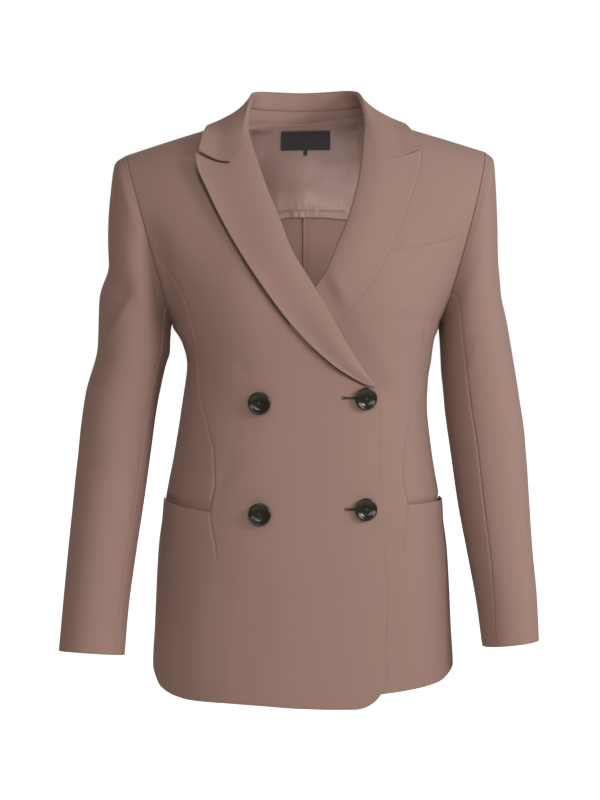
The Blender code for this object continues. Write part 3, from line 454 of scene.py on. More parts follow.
def front_face(u, level, side, lift=0.0):
    """Points and normals of a front's outer face, with its soft folds and a further lift."""
    base = body(FRONT, -1, u, level)
    normal = body_normals(FRONT, -1, u, level)
    lift = lift + folds_at(FRONT_FOLDS[side], base[..., 0], base[..., 2])
    valley = armhole_valley(base, side)[..., None] * (0, 1, 0)
    return base + normal * np.asarray(lift)[..., None] + valley, normal


def mirrored(points, side):
    """Points worked out on the wearer's left, put on the given side."""
    return points * np.array((1 if side == "left" else -1, 1, 1))


def swayed(points, u, level, side):
    """Body points put on the given side, with both sides moved a little to the wearer's left."""
    shift = SWAY.read("shift", level) * np.abs(u) ** 2
    moved = mirrored(points, side)
    moved[..., 0] += shift
    return moved


def tilted(points):
    """Points with the upper part of the garment sloping up to the wearer's left."""
    moved = points.copy()
    moved[..., 2] += SHOULDER_TILT * points[..., 0] * ramp(points[..., 2], *TILT_RISE)
    return moved


def new_piece(name, points, faces, material):
    """A smooth mesh object that rides on the part."""
    mesh = bpy.data.meshes.new(name)
    mesh.from_pydata(points, [], faces)
    mesh.shade_smooth()
    mesh.materials.append(material)
    piece = bpy.data.objects.new(name, mesh)
    bpy.context.scene.collection.objects.link(piece)
    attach(piece, "root")
    return piece


def wall(name, outer, inner, material, lip=EDGE_LIP, corners=None, keep=None):
    """A closed cloth wall between two grids of points, and the piece's flat size. The border is
    rounded: between the outer and inner edge, rings swing through half an ellipse that stands
    out by lip. corners are the border's corners on the grid, counter-clockwise."""
    outer, inner = tilted(outer), tilted(inner)
    rows, columns = outer.shape[:2]
    corners = corners or ((0, 0), (0, columns - 1), (rows - 1, columns - 1), (rows - 1, 0))
    runs = []
    for (i, j), (k, m) in zip(corners, corners[1:] + corners[:1]):
        step = np.arange(max(abs(k - i), abs(m - j)))
        runs.append(np.stack((i + np.sign(k - i) * step, j + np.sign(m - j) * step)))
    row, column = np.concatenate(runs, axis=1)
    edge_out, edge_in = outer[row, column], inner[row, column]
    middle, half = (edge_out + edge_in) / 2, (edge_out - edge_in) / 2
    tangent = np.roll(edge_out, -1, axis=0) - np.roll(edge_out, 1, axis=0)
    across = np.gradient(outer, axis=1)
    rise = np.gradient(outer, axis=0)
    way = np.sign(np.sum(np.cross(across, rise) * (outer - inner)))
    outward = unit(np.cross(tangent, half)) * way
    rings = [middle + half * math.cos(a) + outward * np.asarray(lip)[..., None] * math.sin(a)
             for a in (math.pi / 4, math.pi / 2, 3 * math.pi / 4)]
    points = np.concatenate((outer.reshape(-1, 3), inner.reshape(-1, 3), *rings))
    index = np.arange(rows * columns).reshape(rows, columns)
    cells = np.stack((index[:-1, :-1], index[:-1, 1:], index[1:, 1:], index[1:, :-1]), axis=-1)
    if keep is not None:
        cells = cells[keep]
    cells = cells.reshape(-1, 4)
    count = rows * columns
    border = len(row)
    loops = [index[row, column], *[2 * count + n * border + np.arange(border) for n in range(3)],
             count + index[row, column]]
    strips = [np.stack((a, b, np.roll(b, -1), np.roll(a, -1)), axis=-1)
              for a, b in zip(loops[:-1], loops[1:])]
    faces = np.concatenate((cells, count + cells[:, ::-1], *strips))
    if way < 0:
        faces = faces[:, ::-1]
    used = np.zeros(len(points), dtype=bool)
    used[faces] = True
    faces = (np.cumsum(used) - 1)[faces]
    piece = new_piece(name, points[used], faces, material)
    across, rise = np.diff(outer, axis=1)[:-1], np.diff(outer, axis=0)[:, :-1]
    cell_areas = np.linalg.norm(np.cross(across, rise), axis=-1)
    piece["cut_area"] = float(cell_areas[keep].sum() if keep is not None else cell_areas.sum())
    piece["cut_width"] = float(np.linalg.norm(np.diff(outer, axis=1), axis=-1).sum(axis=1).max())
    piece["cut_length"] = float(np.linalg.norm(np.diff(outer, axis=0), axis=-1).sum(axis=0).max())
    return piece


def as_sheet(piece):
    """Removes the flat size that wall stored on a piece: its cut area, width and length. The
    flat size measured along its own rows and columns, in whole millimetres.
    """
    for key in ("cut_area", "cut_width", "cut_length"):
        del piece[key]


def cloth_material(name, light, dark, grain, bump, roughness, sheen, tone_and_sheen_drift=9, tone_and_sheen_share=0.35):
    """Close cloth: two shades mottled by a fine grain and a slow drift, with the grain as relief too. On
    the crepe the shades lie near and the mottle is the cloth's own uneven tone; on the satin they lie far
    apart and the slow drift is painted sheen, lighter and darker blotches standing in for highlights."""
    material, shader, tree = new_material(
        name, Roughness=roughness, Sheen_Weight=sheen, Sheen_Roughness=0.6,
        Sheen_Tint=(1.0, 0.86, 0.80, 1), Specular_IOR_Level=0.15)
    fine = noise(tree, Scale=grain, Detail=3, Roughness=0.65)
    both = tree.nodes.new("ShaderNodeMix")
    set_inputs(both, Factor=tone_and_sheen_share)
    tree.links.new(fine, both.inputs["A"])
    tree.links.new(noise(tree, Scale=tone_and_sheen_drift, Detail=2), both.inputs["B"])
    shade_by(tree, both.outputs["Result"], dark, light, shader.inputs["Base Color"])
    relief = tree.nodes.new("ShaderNodeBump")
    set_inputs(relief, Strength=bump, Distance=0.0003)
    tree.links.new(fine, relief.inputs["Height"])
    tree.links.new(relief.outputs["Normal"], shader.inputs["Normal"])
    return material


crepe = cloth_material("crepe", (0.318, 0.194, 0.154), (0.264, 0.158, 0.124), 1500, 0.35, 0.88, 0.05)


def dense_ends(start, end, count, pull=0.85):
    """Shares from start to end that lie closer together at both ends."""
    t = np.linspace(0, 1, count)
    return between(start, end, between(t, 0.5 - 0.5 * np.cos(np.pi * t), pull))


def groove(distance, depth=0.0010, width=0.0010):
    """How far a seam pulls the cloth in at a distance from it."""
    return -depth * bell(distance, 0, width)


def half_seam(level):
    """Half the space at a seam in front, as a share of a row."""
    return SEAM_SLIT / row_end(FRONT, level, -1)[..., 0]


def panel_seam_u(level):
    """The u of the front panel seam, which ends on the armhole."""
    seam = u_on_line(PANEL_SEAM, "x", np.minimum(level, SEAM_TOP))
    return np.where(level < SEAM_TOP - NEAR, np.minimum(seam, 1), 1)


LAYER = 0.0004
OVERLAP_PAST = 0.002
OVERLAP_EASE = 0.030
LAPEL_UNDER = (-0.345, -0.310)


def overlap_sink(x, z):
    """How far the left front lies under the right one, x to the wearer's left. Above the break
    the left lapel lies between the two fronts, so the left front is sunk deeper there."""
    edge = np.where(z > BREAK, -ROLL.read("right", z), EDGE.read("x", z))
    full = between(CLOTH + 2 * GAP, 2 * CLOTH + 3 * LAYER, ramp(z, *LAPEL_UNDER))
    return full * ramp(x, edge + OVERLAP_PAST + OVERLAP_EASE, edge + OVERLAP_PAST)


def armhole_inward(points):
    """Unit directions from armhole points to the middle of the armhole, in its plane."""
    return unit(between(armhole(0.0), armhole(180.0), 0.5) - points)


def panel(outer, normal, u, level):
    """Inner points of a body panel: at the armhole its edge lies in the armhole's plane, at the
    shoulder it stands upright, and elsewhere it is square to the outer face."""
    hole = ((u > 1 - NEAR) & (level > UNDERARM + NEAR))[..., None]
    inward = np.where(hole, armhole_inward(outer), -normal)
    top = (level > SHOULDER - NEAR)[..., None]
    upright = unit(np.stack((-normal[..., 0], 0 * u, -np.abs(normal[..., 2])), axis=-1))
    return outer + np.where(top, upright, inward) * CLOTH


FURROW = 0.0060
FURROW_OFF = 0.0005
FURROW_WIDTH = 0.0025


def furrow(x, z):
    """How far the right front is pressed in beside the lapel's outer edge."""
    step = 0.002
    slope = (LAPEL_EDGE.read("right", z + step) - LAPEL_EDGE.read("right", z - step)) / (2 * step)
    off = (x - LAPEL_EDGE.read("right", z)) / np.sqrt(1 + slope ** 2)
    reach = ramp(z - BREAK, 0.001, 0.009) * ramp(z, -0.048, -0.058)
    return FURROW * bell(off, FURROW_OFF, FURROW_WIDTH) * reach


MOUTH_DIP = {"right": -0.0062, "left": 0.0012}
MOUTH_REACH = 0.035


def mouth_dip(u, level, inner_end, side):
    """How far the pocket's mouth and the rows near it dip towards the mouth's inner end."""
    towards = np.clip((1 - u) / (1 - inner_end), 0, 1)
    inside = ramp(u, inner_end - 0.10, inner_end)
    return MOUTH_DIP[side] * towards ** 1.3 * inside * bell(level, POCKET_MOUTH, MOUTH_REACH)


FOLD_BACK = 0.0030
DART_FOOT = -0.500
SEAM_ROWS = 84
mouth_row = 53
level = np.concatenate((dense_ends(FRONT_HEM, POCKET_MOUTH, mouth_row + 1),
                        dense_ends(POCKET_MOUTH, SEAM_TOP, SEAM_ROWS)[1:],
                        dense_ends(SEAM_TOP, SHOULDER, 84, 0.3)[1:]))
for side in ("right", "left"):
    fold_u = u_on_line(ROLL, side, np.maximum(level, BREAK))
    fold_u = fold_u + FOLD_BACK / row_end(FRONT, level, -1)[..., 0] * ramp(level, BREAK, BREAK + 0.02)
    edge_u = u_at(FRONT, -1, -EDGE.read("x", level), level)
    start_u = np.where(level < BREAK, edge_u, fold_u)
    seam_u = panel_seam_u(level) - half_seam(level) * (level < SEAM_TOP - NEAR)
    lapel_u = u_on_line(LAPEL_EDGE, side, np.maximum(level, BREAK))
    lapel_share = np.clip((lapel_u - start_u) / (seam_u - start_u), 0.06, 0.9)[:, None]
    under = dense_ends(0, 1, 28)
    main = np.concatenate((lapel_share * under, between(lapel_share, 1, dense_ends(0, 1, 76)[1:])), axis=1)
    main = between(start_u[:, None], seam_u[:, None], main)
    main_columns = main.shape[1]
    outward = between(seam_u[:, None], 1, dense_ends(0, 1, 42)[1:])
    u = np.concatenate((main, outward), axis=1)
    x_hem = body(FRONT, -1, u[0], level[0])[..., 0]
    radius = HEM_CORNER[side]
    inset = np.clip(radius - (x_hem - x_hem[0]), 0, radius)
    hem = HEM.read(side, x_hem) + radius - np.sqrt(radius ** 2 - inset ** 2)
    share_up = np.clip((level - FRONT_HEM) / (POCKET_MOUTH - FRONT_HEM), 0, 1)[:, None]
    levels = level[:, None] + (hem - FRONT_HEM) * (1 - share_up)
    levels = levels + mouth_dip(u, level[:, None], seam_u[mouth_row], side)
    mouth_share = np.clip(1 - (POCKET_MOUTH - level[:, None]) / MOUTH_REACH, 0, 1)
    side_way = np.clip((u - seam_u[:, None]) / (1 + NEAR - seam_u[:, None]), 0, 1)
    lift = POCKET_GAPE * smooth_step(mouth_share) * np.sin(np.pi * 0.75 * side_way)
    lift = lift * (level[:, None] < POCKET_MOUTH + NEAR)
    to_seam = (u - seam_u[:, None]) * row_end(FRONT, level, -1)[:, None, 0]
    dart = ramp(levels, DART_FOOT, DART_FOOT + 0.012) * (level[:, None] < POCKET_MOUTH)
    lift = lift + groove(to_seam) * np.where(level[:, None] > POCKET_MOUTH, 1, dart)
    place = body(FRONT, -1, u, levels)
    sink = overlap_sink if side == "left" else furrow
    lift = lift - sink(place[..., 0], place[..., 2])
    outer, normal = front_face(u, levels, side, lift)
    inner = panel(outer, normal, u, levels)
    keep = np.ones((len(level) - 1, u.shape[1] - 1), dtype=bool)
    keep[mouth_row:, main_columns - 1:] = False
    last_row, last_column = len(level) - 1, u.shape[1] - 1
    corners = ((0, 0), (0, last_column), (mouth_row, last_column), (mouth_row, main_columns - 1),
               (last_row, main_columns - 1), (last_row, 0))
    lip = np.full(2 * (last_row + last_column), EDGE_LIP)
    on_seam = slice(last_column + mouth_row + (last_column - main_columns + 1),
                    last_column + last_row + (last_column - main_columns + 1))
    lip[on_seam] = SEAM_LIP
    lip[last_column:last_column + mouth_row] = SEAM_LIP
    lip[on_seam.stop:on_seam.stop + main_columns - 1] = SEAM_LIP
    outer, inner = (swayed(points, u, levels, side) for points in (outer, inner))
    piece = wall("cloth_front_" + side, outer, inner, crepe, lip, corners, keep)
    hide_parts("front_" + side)
    as_sheet(piece)


# ================================================================ side fronts
# Each side front is cut from the same crepe. It is sewn to the front at the panel seam and goes
# on down inside the hip pocket as the pocket's back.
POCKET_DEPTH = 0.026
for side in ("right", "left"):
    seam_level = np.concatenate((np.linspace(POCKET_MOUTH - POCKET_DEPTH, POCKET_MOUTH, 10)[:-1],
                                 dense_ends(POCKET_MOUTH, SEAM_TOP, SEAM_ROWS)))
    start = seam_level[0]
    share = (seam_level - start) / (SEAM_TOP - start)
    side_level = between(start, UNDERARM, share)
    across = dense_ends(0, 1, 44)
    left_u = panel_seam_u(seam_level) + half_seam(seam_level)
    u = between(left_u[:, None], 1, across)
    levels = between(seam_level[:, None], side_level[:, None], across)
    u[-1] = 1
    levels[-1, 0] -= LAYER
    to_seam = (u - left_u[:, None]) * row_end(FRONT, seam_level, -1)[:, None, 0]
    lift = groove(to_seam) - (CLOTH + 2 * GAP) * ramp(levels, POCKET_MOUTH + 0.010, POCKET_MOUTH)
    below = ramp(levels, POCKET_MOUTH + 0.003, POCKET_MOUTH - 0.003)
    lift = lift + (POCKET_GAPE * 0.7 + 0.0008) * below * ramp(across, 0.90, 1)
    outer, normal = front_face(u, levels, side, lift)
    inner = panel(outer, normal, u, levels)
    outer, inner = (swayed(points, u, levels, side) for points in (outer, inner))
    piece = wall("cloth_side_front_" + side, outer, inner, crepe, SEAM_LIP)
    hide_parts("side_front_" + side)
    as_sheet(piece)


# ================================================================ backs
# Two backs of crepe, joined by a plain centre back seam from the collar to the hem and sewn to
# the fronts at the side and shoulder seams.
BACK_HEM = -0.640
NECK_HALF = 0.075
NAPE = 0.004
BACK_FOLDS = ((0.020, -0.270, 0.110, -0.235, 0.016, -0.0016),
              (0.015, -0.345, 0.120, -0.330, 0.018, -0.0016),
              (0.060, -0.420, 0.090, -0.620, 0.022, 0.0020),
              (0.020, -0.450, 0.035, -0.630, 0.018, -0.0016),
              (0.125, -0.120, 0.100, -0.210, 0.016, 0.0016))


def back_top_level(u):
    """Level of the back's upper edge: the neckline, then the shoulder seam."""
    neck_u = u_at(BACK, 1, NECK_HALF, np.array(SHOULDER))
    share = np.clip(u / neck_u, 0, 1)
    return between(NAPE, SHOULDER, 1 - np.sqrt(1 - share ** 2 + 1e-12))


for side in ("right", "left"):
    across = dense_ends(0, 1, 76)
    low = dense_ends(BACK_HEM, UNDERARM, 100)[:-1]
    high = between(UNDERARM, back_top_level(across), dense_ends(0, 1, 84)[:, None])
    levels = np.concatenate((np.repeat(low[:, None], len(across), axis=1), high))
    u = 0 * levels + across
    wide = row_end(BACK, levels, 1)[..., 0]
    normal = body_normals(BACK, 1, u, levels)
    base = body(BACK, 1, u, levels)
    lift = folds_at(BACK_FOLDS, base[..., 0], base[..., 2]) + groove(u * wide)
    outer = base + normal * lift[..., None]
    inner = panel(outer, normal, u, levels)
    for points in (outer, inner):
        points[..., 1] += GAP / 2 * (levels > SHOULDER - NEAR)
    lip = np.full(2 * sum(u.shape) - 4, SEAM_LIP)
    lip[:len(across) - 1] = EDGE_LIP
    outer, inner = (swayed(points, u, levels, side) for points in (outer, inner))
    piece = wall("cloth_back_" + side, outer, inner, crepe, lip)
    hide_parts("back_" + side)
    as_sheet(piece)


# ================================================================ sleeves
# Two-piece sleeves of crepe: a top sleeve and a narrower under sleeve, joined along the forearm
# and the elbow, set into the armhole with a soft head and finished with a plain hem at the cuff.
RING_NAMES = "ring inner_x inner_z outer_x outer_z mid_y deep pitch front_seam back_seam"
SLEEVE = {
    "left": Table(RING_NAMES, (
        (0, 0.1570, -0.2350, 0.2105, -0.0360, 0.012, 0.0720, 0.00, 128, 235),
        (1, 0.1578, -0.2390, 0.2205, -0.0455, 0.012, 0.0735, 0.00, 126, 236),
        (2, 0.1584, -0.2430, 0.2232, -0.0760, 0.012, 0.0735, 0.00, 123, 238),
        (3, 0.1588, -0.2480, 0.2250, -0.1150, 0.011, 0.0725, 0.00, 120, 241),
        (4, 0.1592, -0.2550, 0.2262, -0.1600, 0.010, 0.0705, 0.00, 117, 244),
        (5, 0.1597, -0.2680, 0.2325, -0.2070, 0.008, 0.0680, 0.00, 117, 247),
        (6, 0.1603, -0.2900, 0.2412, -0.2600, 0.004, 0.0650, 0.01, 116, 250),
        (7, 0.1640, -0.3350, 0.2505, -0.3180, -0.001, 0.0610, 0.03, 115, 250),
        (8, 0.1705, -0.3880, 0.2578, -0.3770, -0.011, 0.0570, 0.06, 114, 250),
        (9, 0.1775, -0.4450, 0.2600, -0.4380, -0.025, 0.0530, 0.08, 114, 250),
        (10, 0.1872, -0.5030, 0.2622, -0.4970, -0.040, 0.0495, 0.09, 116, 250),
        (11, 0.1960, -0.5570, 0.2655, -0.5500, -0.055, 0.0465, 0.10, 124, 250),
        (12, 0.2015, -0.6060, 0.2664, -0.5990, -0.068, 0.0445, 0.10, 130, 250))),
    "right": Table(RING_NAMES, (
        (0, 0.1570, -0.2350, 0.2105, -0.0360, 0.012, 0.0720, 0.00, 140, 235),
        (1, 0.1578, -0.2390, 0.2230, -0.0455, 0.012, 0.0735, 0.00, 140, 236),
        (2, 0.1584, -0.2430, 0.2280, -0.0760, 0.012, 0.0735, 0.00, 140, 238),
        (3, 0.1588, -0.2480, 0.2312, -0.1150, 0.011, 0.0725, 0.00, 140, 241),
        (4, 0.1592, -0.2550, 0.2322, -0.1600, 0.010, 0.0705, 0.00, 140, 244),
        (5, 0.1597, -0.2680, 0.2420, -0.2070, 0.008, 0.0680, 0.00, 140, 247),
        (6, 0.1650, -0.2860, 0.2440, -0.2600, 0.004, 0.0650, 0.01, 140, 250),
        (7, 0.1752, -0.3350, 0.2585, -0.3180, -0.001, 0.0610, 0.03, 140, 250),
        (8, 0.1825, -0.3880, 0.2662, -0.3770, -0.013, 0.0570, 0.07, 140, 250),
        (9, 0.1905, -0.4450, 0.2716, -0.4380, -0.030, 0.0530, 0.11, 140, 250),
        (10, 0.1995, -0.5040, 0.2772, -0.4980, -0.048, 0.0500, 0.14, 140, 250),
        (11, 0.2070, -0.5600, 0.2820, -0.5540, -0.065, 0.0475, 0.15, 140, 250),
        (12, 0.2112, -0.6110, 0.2862, -0.6055, -0.080, 0.0455, 0.15, 140, 250))),
}
# ring, angle, along, around, slant and depth of each soft fold pressed into a sleeve
SLEEVE_FOLDS = {
    "left": ((4.9, 20, 0.35, 55, 20, 0.0022),
             (6.6, -100, 0.30, 60, 25, 0.0020),
             (8.1, 60, 0.30, 50, 20, 0.0012)),
    "right": ((4.2, 20, 0.40, 60, 25, 0.0030),
              (6.3, -100, 0.30, 60, -30, 0.0030),
              (8.2, 50, 0.35, 45, 20, 0.0016)),
}
# x1, z1, x2, z2 of a crease on the front of a sleeve, the width and depth of the hollow beside
# it, and the height at which that hollow has run out
SLEEVE_CREASES = {
    "left": ((0.190, -0.270, 0.172, -0.330, 0.014, 0.0015, -0.20),),
    "right": ((0.2399, -0.2641, 0.2007, -0.1984, 0.016, 0.0185, -0.150),
              (0.226, -0.400, 0.200, -0.340, 0.030, 0.0020, -0.300)),
}


SLEEVE_RADIUS = 0.036
SLEEVE_REACH = 0.05


def creases_at(table, points):
    """How far the cloth falls back beside each crease: nothing below the crease's line, then a
    quick fall, and a slow return towards the height where the hollow has run out."""
    x, z = points[..., 0], points[..., 2]
    back = np.zeros(x.shape)
    for x1, z1, x2, z2, width, depth, top in table:
        share, off = along_line(x, z, x1, z1, x2, z2)
        fall = np.sin(math.pi / 2 * np.clip(off / width, 0, 1)) * ramp(z, top, between(top, z1, 0.75))
        back += depth * fall * ramp(share, -0.5, 0) * np.clip(1 - share / 1.35, 0, 1)
    return back


def sleeve_points(side, ring, angle):
    """Outer face of a sleeve: its rings are soft ellipses, with bell-shaped folds pressed in
    towards its middle, creases in front and the valley it shares with the armhole."""
    table = SLEEVE[side]
    high = (table.read("outer_x", ring), table.read("outer_z", ring))
    low = (table.read("inner_x", ring), table.read("inner_z", ring))
    mid_y = table.read("mid_y", ring)
    base = oval(high, low, table.read("deep", ring), angle, table.read("pitch", ring), mid_y)
    middle = np.stack(((high[0] + low[0]) / 2, mid_y, (high[1] + low[1]) / 2), axis=-1)
    press = np.zeros(base.shape[:-1])
    around = np.mod(angle + 180, 360) - 180
    for at, turned, length, width, slant, depth in SLEEVE_FOLDS[side]:
        press += depth * bell(ring, at, length) * bell(around, turned + slant * (ring - at), width)
    front = ramp(base[..., 1] - mid_y, 0, -0.045) * ramp(ring, 0.3, 1)
    back = creases_at(SLEEVE_CREASES[side], base) * front + armhole_valley(base, side)
    return base + unit(middle - base) * press[..., None] + back[..., None] * (0, 1, 0)


for side in ("right", "left"):
    for part, columns in (("top", 120), ("under", 64)):
        ring = np.concatenate((np.linspace(0, 2, 22)[:-1], np.linspace(2, 12, 150)))
        half_gap = np.degrees(SEAM_SLIT / SLEEVE_RADIUS)
        front_seam = SLEEVE[side].read("front_seam", ring)
        back_seam = SLEEVE[side].read("back_seam", ring)
        if part == "top":
            start, end = back_seam - 360 + half_gap, front_seam - half_gap
        else:
            start, end = front_seam + half_gap, back_seam - half_gap
        angle = between(start[:, None], end[:, None], dense_ends(0, 1, columns))
        ring = np.repeat(ring[:, None], columns, axis=1)
        outer = sleeve_points(side, ring, angle)
        near, far = np.maximum(ring - 0.02, 0), np.minimum(ring + 0.02, 12)
        down = sleeve_points(side, far, angle) - sleeve_points(side, near, angle)
        around = sleeve_points(side, ring, angle + 0.5) - sleeve_points(side, ring, angle - 0.5)
        inward = unit(np.cross(down, around))
        to_seam = np.radians(np.minimum(angle - start[:, None], end[:, None] - angle)) * SLEEVE_REACH
        outer = outer - inward * groove(to_seam)[..., None]
        hole = armhole_inward(outer[:1])
        inward = unit(between(inward, hole, (1 - smooth_step(ring / 0.3))[..., None]))
        inner = outer + inward * CLOTH
        lip = np.full(2 * sum(ring.shape) - 4, SEAM_LIP)
        lip[columns + len(ring) - 2:2 * columns + len(ring) - 3] = EDGE_LIP
        piece = wall("cloth_" + part + "_sleeve_" + side, mirrored(outer, side), mirrored(inner, side),
                     crepe, lip)
        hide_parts(part + "_sleeve_" + side)
        as_sheet(piece)


# ================================================================ lapels
# Peak lapels of crepe over soft canvas. Each turns over at its fold and lies on its front. The
# left one starts between the two fronts.
LAPEL_TOP = Table("across right left", (
    (0.0, -0.0180, -0.0180), (0.42, -0.0497, -0.0470), (0.47, -0.0505, -0.0478), (1.0, -0.0412, -0.0372)))
LAPEL_FOOT = BREAK + 0.004
LAPEL_FREE = 0.09
LAPEL_ROLL = 0.0036
LAPEL_LIFTS = (-0.150, -0.070)
LAPEL_STAND_OFF = {"right": 0.0090, "left": 0.0010}
LAPEL_BEVEL = {"right": 0.0, "left": 0.0011}
BEVEL_WIDTH = 0.0020
NOTCH_OPEN = {"right": 0.0042, "left": 0.0008}
FOLD_TURN = 0.0022
FOLD_INSET = 0.0008
FOLD_TOP = -0.014
lapel_top = {}
for side in ("right", "left"):
    share, rise = np.meshgrid(dense_ends(0, 1, 46), dense_ends(0, 1, 130))
    height = between(LAPEL_FOOT, LAPEL_TOP.read(side, share), rise)
    fold_x = ROLL.read(side, np.minimum(height, FOLD_TOP)) - FOLD_INSET + FOLD_TURN
    x = between(fold_x, LAPEL_EDGE.read(side, height), share)
    u, level = place_on_front(x, height)
    free = smooth_step(rise / LAPEL_FREE)
    roll = LAPEL_ROLL * 27 / 4 * share * (1 - share) ** 2 * free
    high = between(0.4, 1, ramp(height, *LAPEL_LIFTS))
    stand_off = LAPEL_STAND_OFF[side] * share ** 4 * free * high
    hidden = overlap_sink(x, height) if side == "left" else 0 * x
    covered = smooth_step(1.5 * hidden / (2 * CLOTH + 3 * LAYER))
    rim = smooth_step(1 - (1 - share) * (x - fold_x).max(axis=1, keepdims=True) / BEVEL_WIDTH)
    bevel = LAPEL_BEVEL[side] * rim * free * (1 - covered)
    lift = CLOTH + LAYER + (roll + stand_off) * (1 - covered) - hidden - bevel
    outer, normal = front_face(u, level, side, lift)
    lapel_top[side] = outer[-1].copy()
    slit = NOTCH_OPEN[side] * np.clip((share - 0.45) / 0.04, 0, 1) * ramp(rise, 0.92, 1)
    outer = outer - unit(outer[-1] - outer[-12]) * slit[..., None]
    fold_way = unit(outer[:, 1] - outer[:, 0])
    turns = np.linspace(-math.pi / 2, math.pi / 2, 9)[:-1]
    roll_normal = np.stack([normal[:, 0] * math.sin(a) - fold_way * math.cos(a) for a in turns], axis=1)
    centre = (outer[:, 0] - normal[:, 0] * FOLD_TURN)[:, None]
    outer = np.concatenate((centre + roll_normal * FOLD_TURN, outer), axis=1)
    inward = -np.concatenate((roll_normal, normal), axis=1)
    bevel = np.concatenate((np.zeros((len(bevel), len(turns))), bevel), axis=1)
    inner = outer + inward * (CLOTH - bevel)[..., None]
    rows, columns = outer.shape[:2]
    lip = np.full(2 * (rows + columns) - 4, EDGE_LIP)
    lip[rows + columns - 2:rows + 2 * columns - 3] = SEAM_LIP
    piece = wall("cloth_lapel_" + side, mirrored(outer, side), mirrored(inner, side), crepe, lip)
    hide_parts("lapel_" + side)
    as_sheet(piece)


# ================================================================ collar
# The collar and its stand are cut from crepe and joined by a seam inside the neck. The collar
# turns over at its fold and its fall lies on the shoulders up to the gorge.
COLLAR = Table("along neck_x neck_y neck_z fold_x fold_y fold_z "
               "fall_x fall_y fall_z edge_x edge_y edge_z", (
    (0.00, 0.000, 0.0555, 0.0060, 0.0000, 0.0640, 0.0388, 0.0000, 0.0770, 0.0200,
     0.0000, 0.0800, -0.0060),
    (0.30, 0.043, 0.0470, 0.0070, 0.0420, 0.0540, 0.0402, 0.0530, 0.0670, 0.0210,
     0.0620, 0.0740, -0.0030),
    (0.52, 0.066, 0.0230, 0.0100, 0.0600, 0.0280, 0.0370, 0.0765, 0.0400, 0.0140,
     0.0970, 0.0510, -0.0030),
    (0.70, 0.0715, 0.0000, 0.0110, 0.0655, 0.0000, 0.0275, 0.0830, 0.0020, 0.0128,
     0.1115, 0.0060, -0.0022),
    (0.86, 0.0700, -0.0260, 0.0020, 0.0675, -0.0290, 0.0080, 0.0890, -0.0310, -0.0060,
     0.1180, -0.0220, -0.0100),
    (1.00, 0.0660, -0.0480, -0.0160, 0.0645, -0.0520, -0.0130, 0.0915, -0.0680, -0.0440,
     0.1250, -0.0490, -0.0330)))
THIN_LIP = 0.0003
COLLAR_LIP = 0.0006
COLLAR_ACROSS = 0.100
COLLAR_SEAM = 0.10
COLLAR_SLIT = 0.002
COLLAR_FOLD = 3 / 7
COLLAR_REACH = 0.955
COLLAR_EDGE_LIFT = 0.0026
FOLD_RADIUS = 0.0042
NAPE_SOFT = 0.10
NOTCH_ON_LAPEL = 0.42
NOTCH_SHARE = 0.55
STAND_SINK = 0.0012
STAND_LOW = Table("x height", (
    (-0.0750, -0.0026), (-0.0450, -0.0012), (-0.0200, -0.0004), (0.0, 0.0), (0.0200, 0.0010),
    (0.0450, 0.0040), (0.0680, 0.0066), (0.0800, 0.0085)))


def curve_through(points, at):
    """Points on a smooth curve through a list of points (Catmull-Rom), at 0 to 1."""
    points = np.concatenate((2 * points[:1] - points[1:2], points, 2 * points[-1:] - points[-2:-1]))
    spans = len(points) - 3
    place = np.clip(at, -0.05, 1.05) * spans
    i = np.clip(np.floor(place).astype(int), 0, spans - 1)
    t = (place - i)[..., None]
    a, b, c, d = (np.take_along_axis(points, (i + k)[None, ..., None], axis=0)[0] for k in range(4))
    return 0.5 * (2 * b + (c - a) * t + (2 * a - 5 * b + 4 * c - d) * t ** 2
                  + (3 * b - a - 3 * c + d) * t ** 3)


def collar_points(along, across):
    """Visible face of the collar: from the neck seam up inside the neck, over the fold and down
    the fall, for places along (-1 right gorge, 0 middle back, 1 left gorge)."""
    way = np.where(along < 0, -1.0, 1.0)
    at = np.abs(along)
    soft_at = np.sqrt(at ** 2 + NAPE_SOFT ** 2 * (1 - at)) - NAPE_SOFT * (1 - at)

    def spot(name):
        return np.stack([COLLAR.read(name + "_x", at) * way, COLLAR.read(name + "_y", soft_at),
                         COLLAR.read(name + "_z", soft_at)], axis=-1)

    neck, fold, fall, edge = (spot(name) for name in ("neck", "fold", "fall", "edge"))
    out = unit((fall - neck) * (1, 1, 0))
    small = FOLD_RADIUS * between(1.0, 0.45, ramp(at, 0.6, 1))[..., None]
    inside = fold - (out + (0, 0, 1)) * small
    outside = fold + (out - (0, 0, 1)) * small
    points = np.stack((neck, between(neck, inside, 0.55), inside, fold, outside,
                       fall, between(fall, edge, 0.5), edge))
    return curve_through(points, across)


def gorge_fit(points, along, across):
    """Moves the collar's two ends on to the lapels: along the gorge seam its end follows the
    lapel's upper edge, and from the notch outwards it stays a slit's width above it."""
    moved = points.copy()
    share = np.clip((across - COLLAR_FOLD) / (1 - COLLAR_FOLD), 0, 1)
    for side, way in (("right", -1.0), ("left", 1.0)):
        edge = lapel_top[side]
        at = dense_ends(0, 1, len(edge))
        start = NOTCH_ON_LAPEL / NOTCH_SHARE
        place = share * between(start, COLLAR_REACH, share ** 2)
        target = np.stack([np.interp(place, at, edge[:, axis]) for axis in range(3)], axis=-1)
        target[..., 0] *= way
        shift = target - collar_points(np.full(across.shape, way), np.maximum(across, COLLAR_FOLD))
        moved += shift * ramp(along * way, 0.70, 1)[..., None]
        moved[..., 2] += NEAR
    return moved


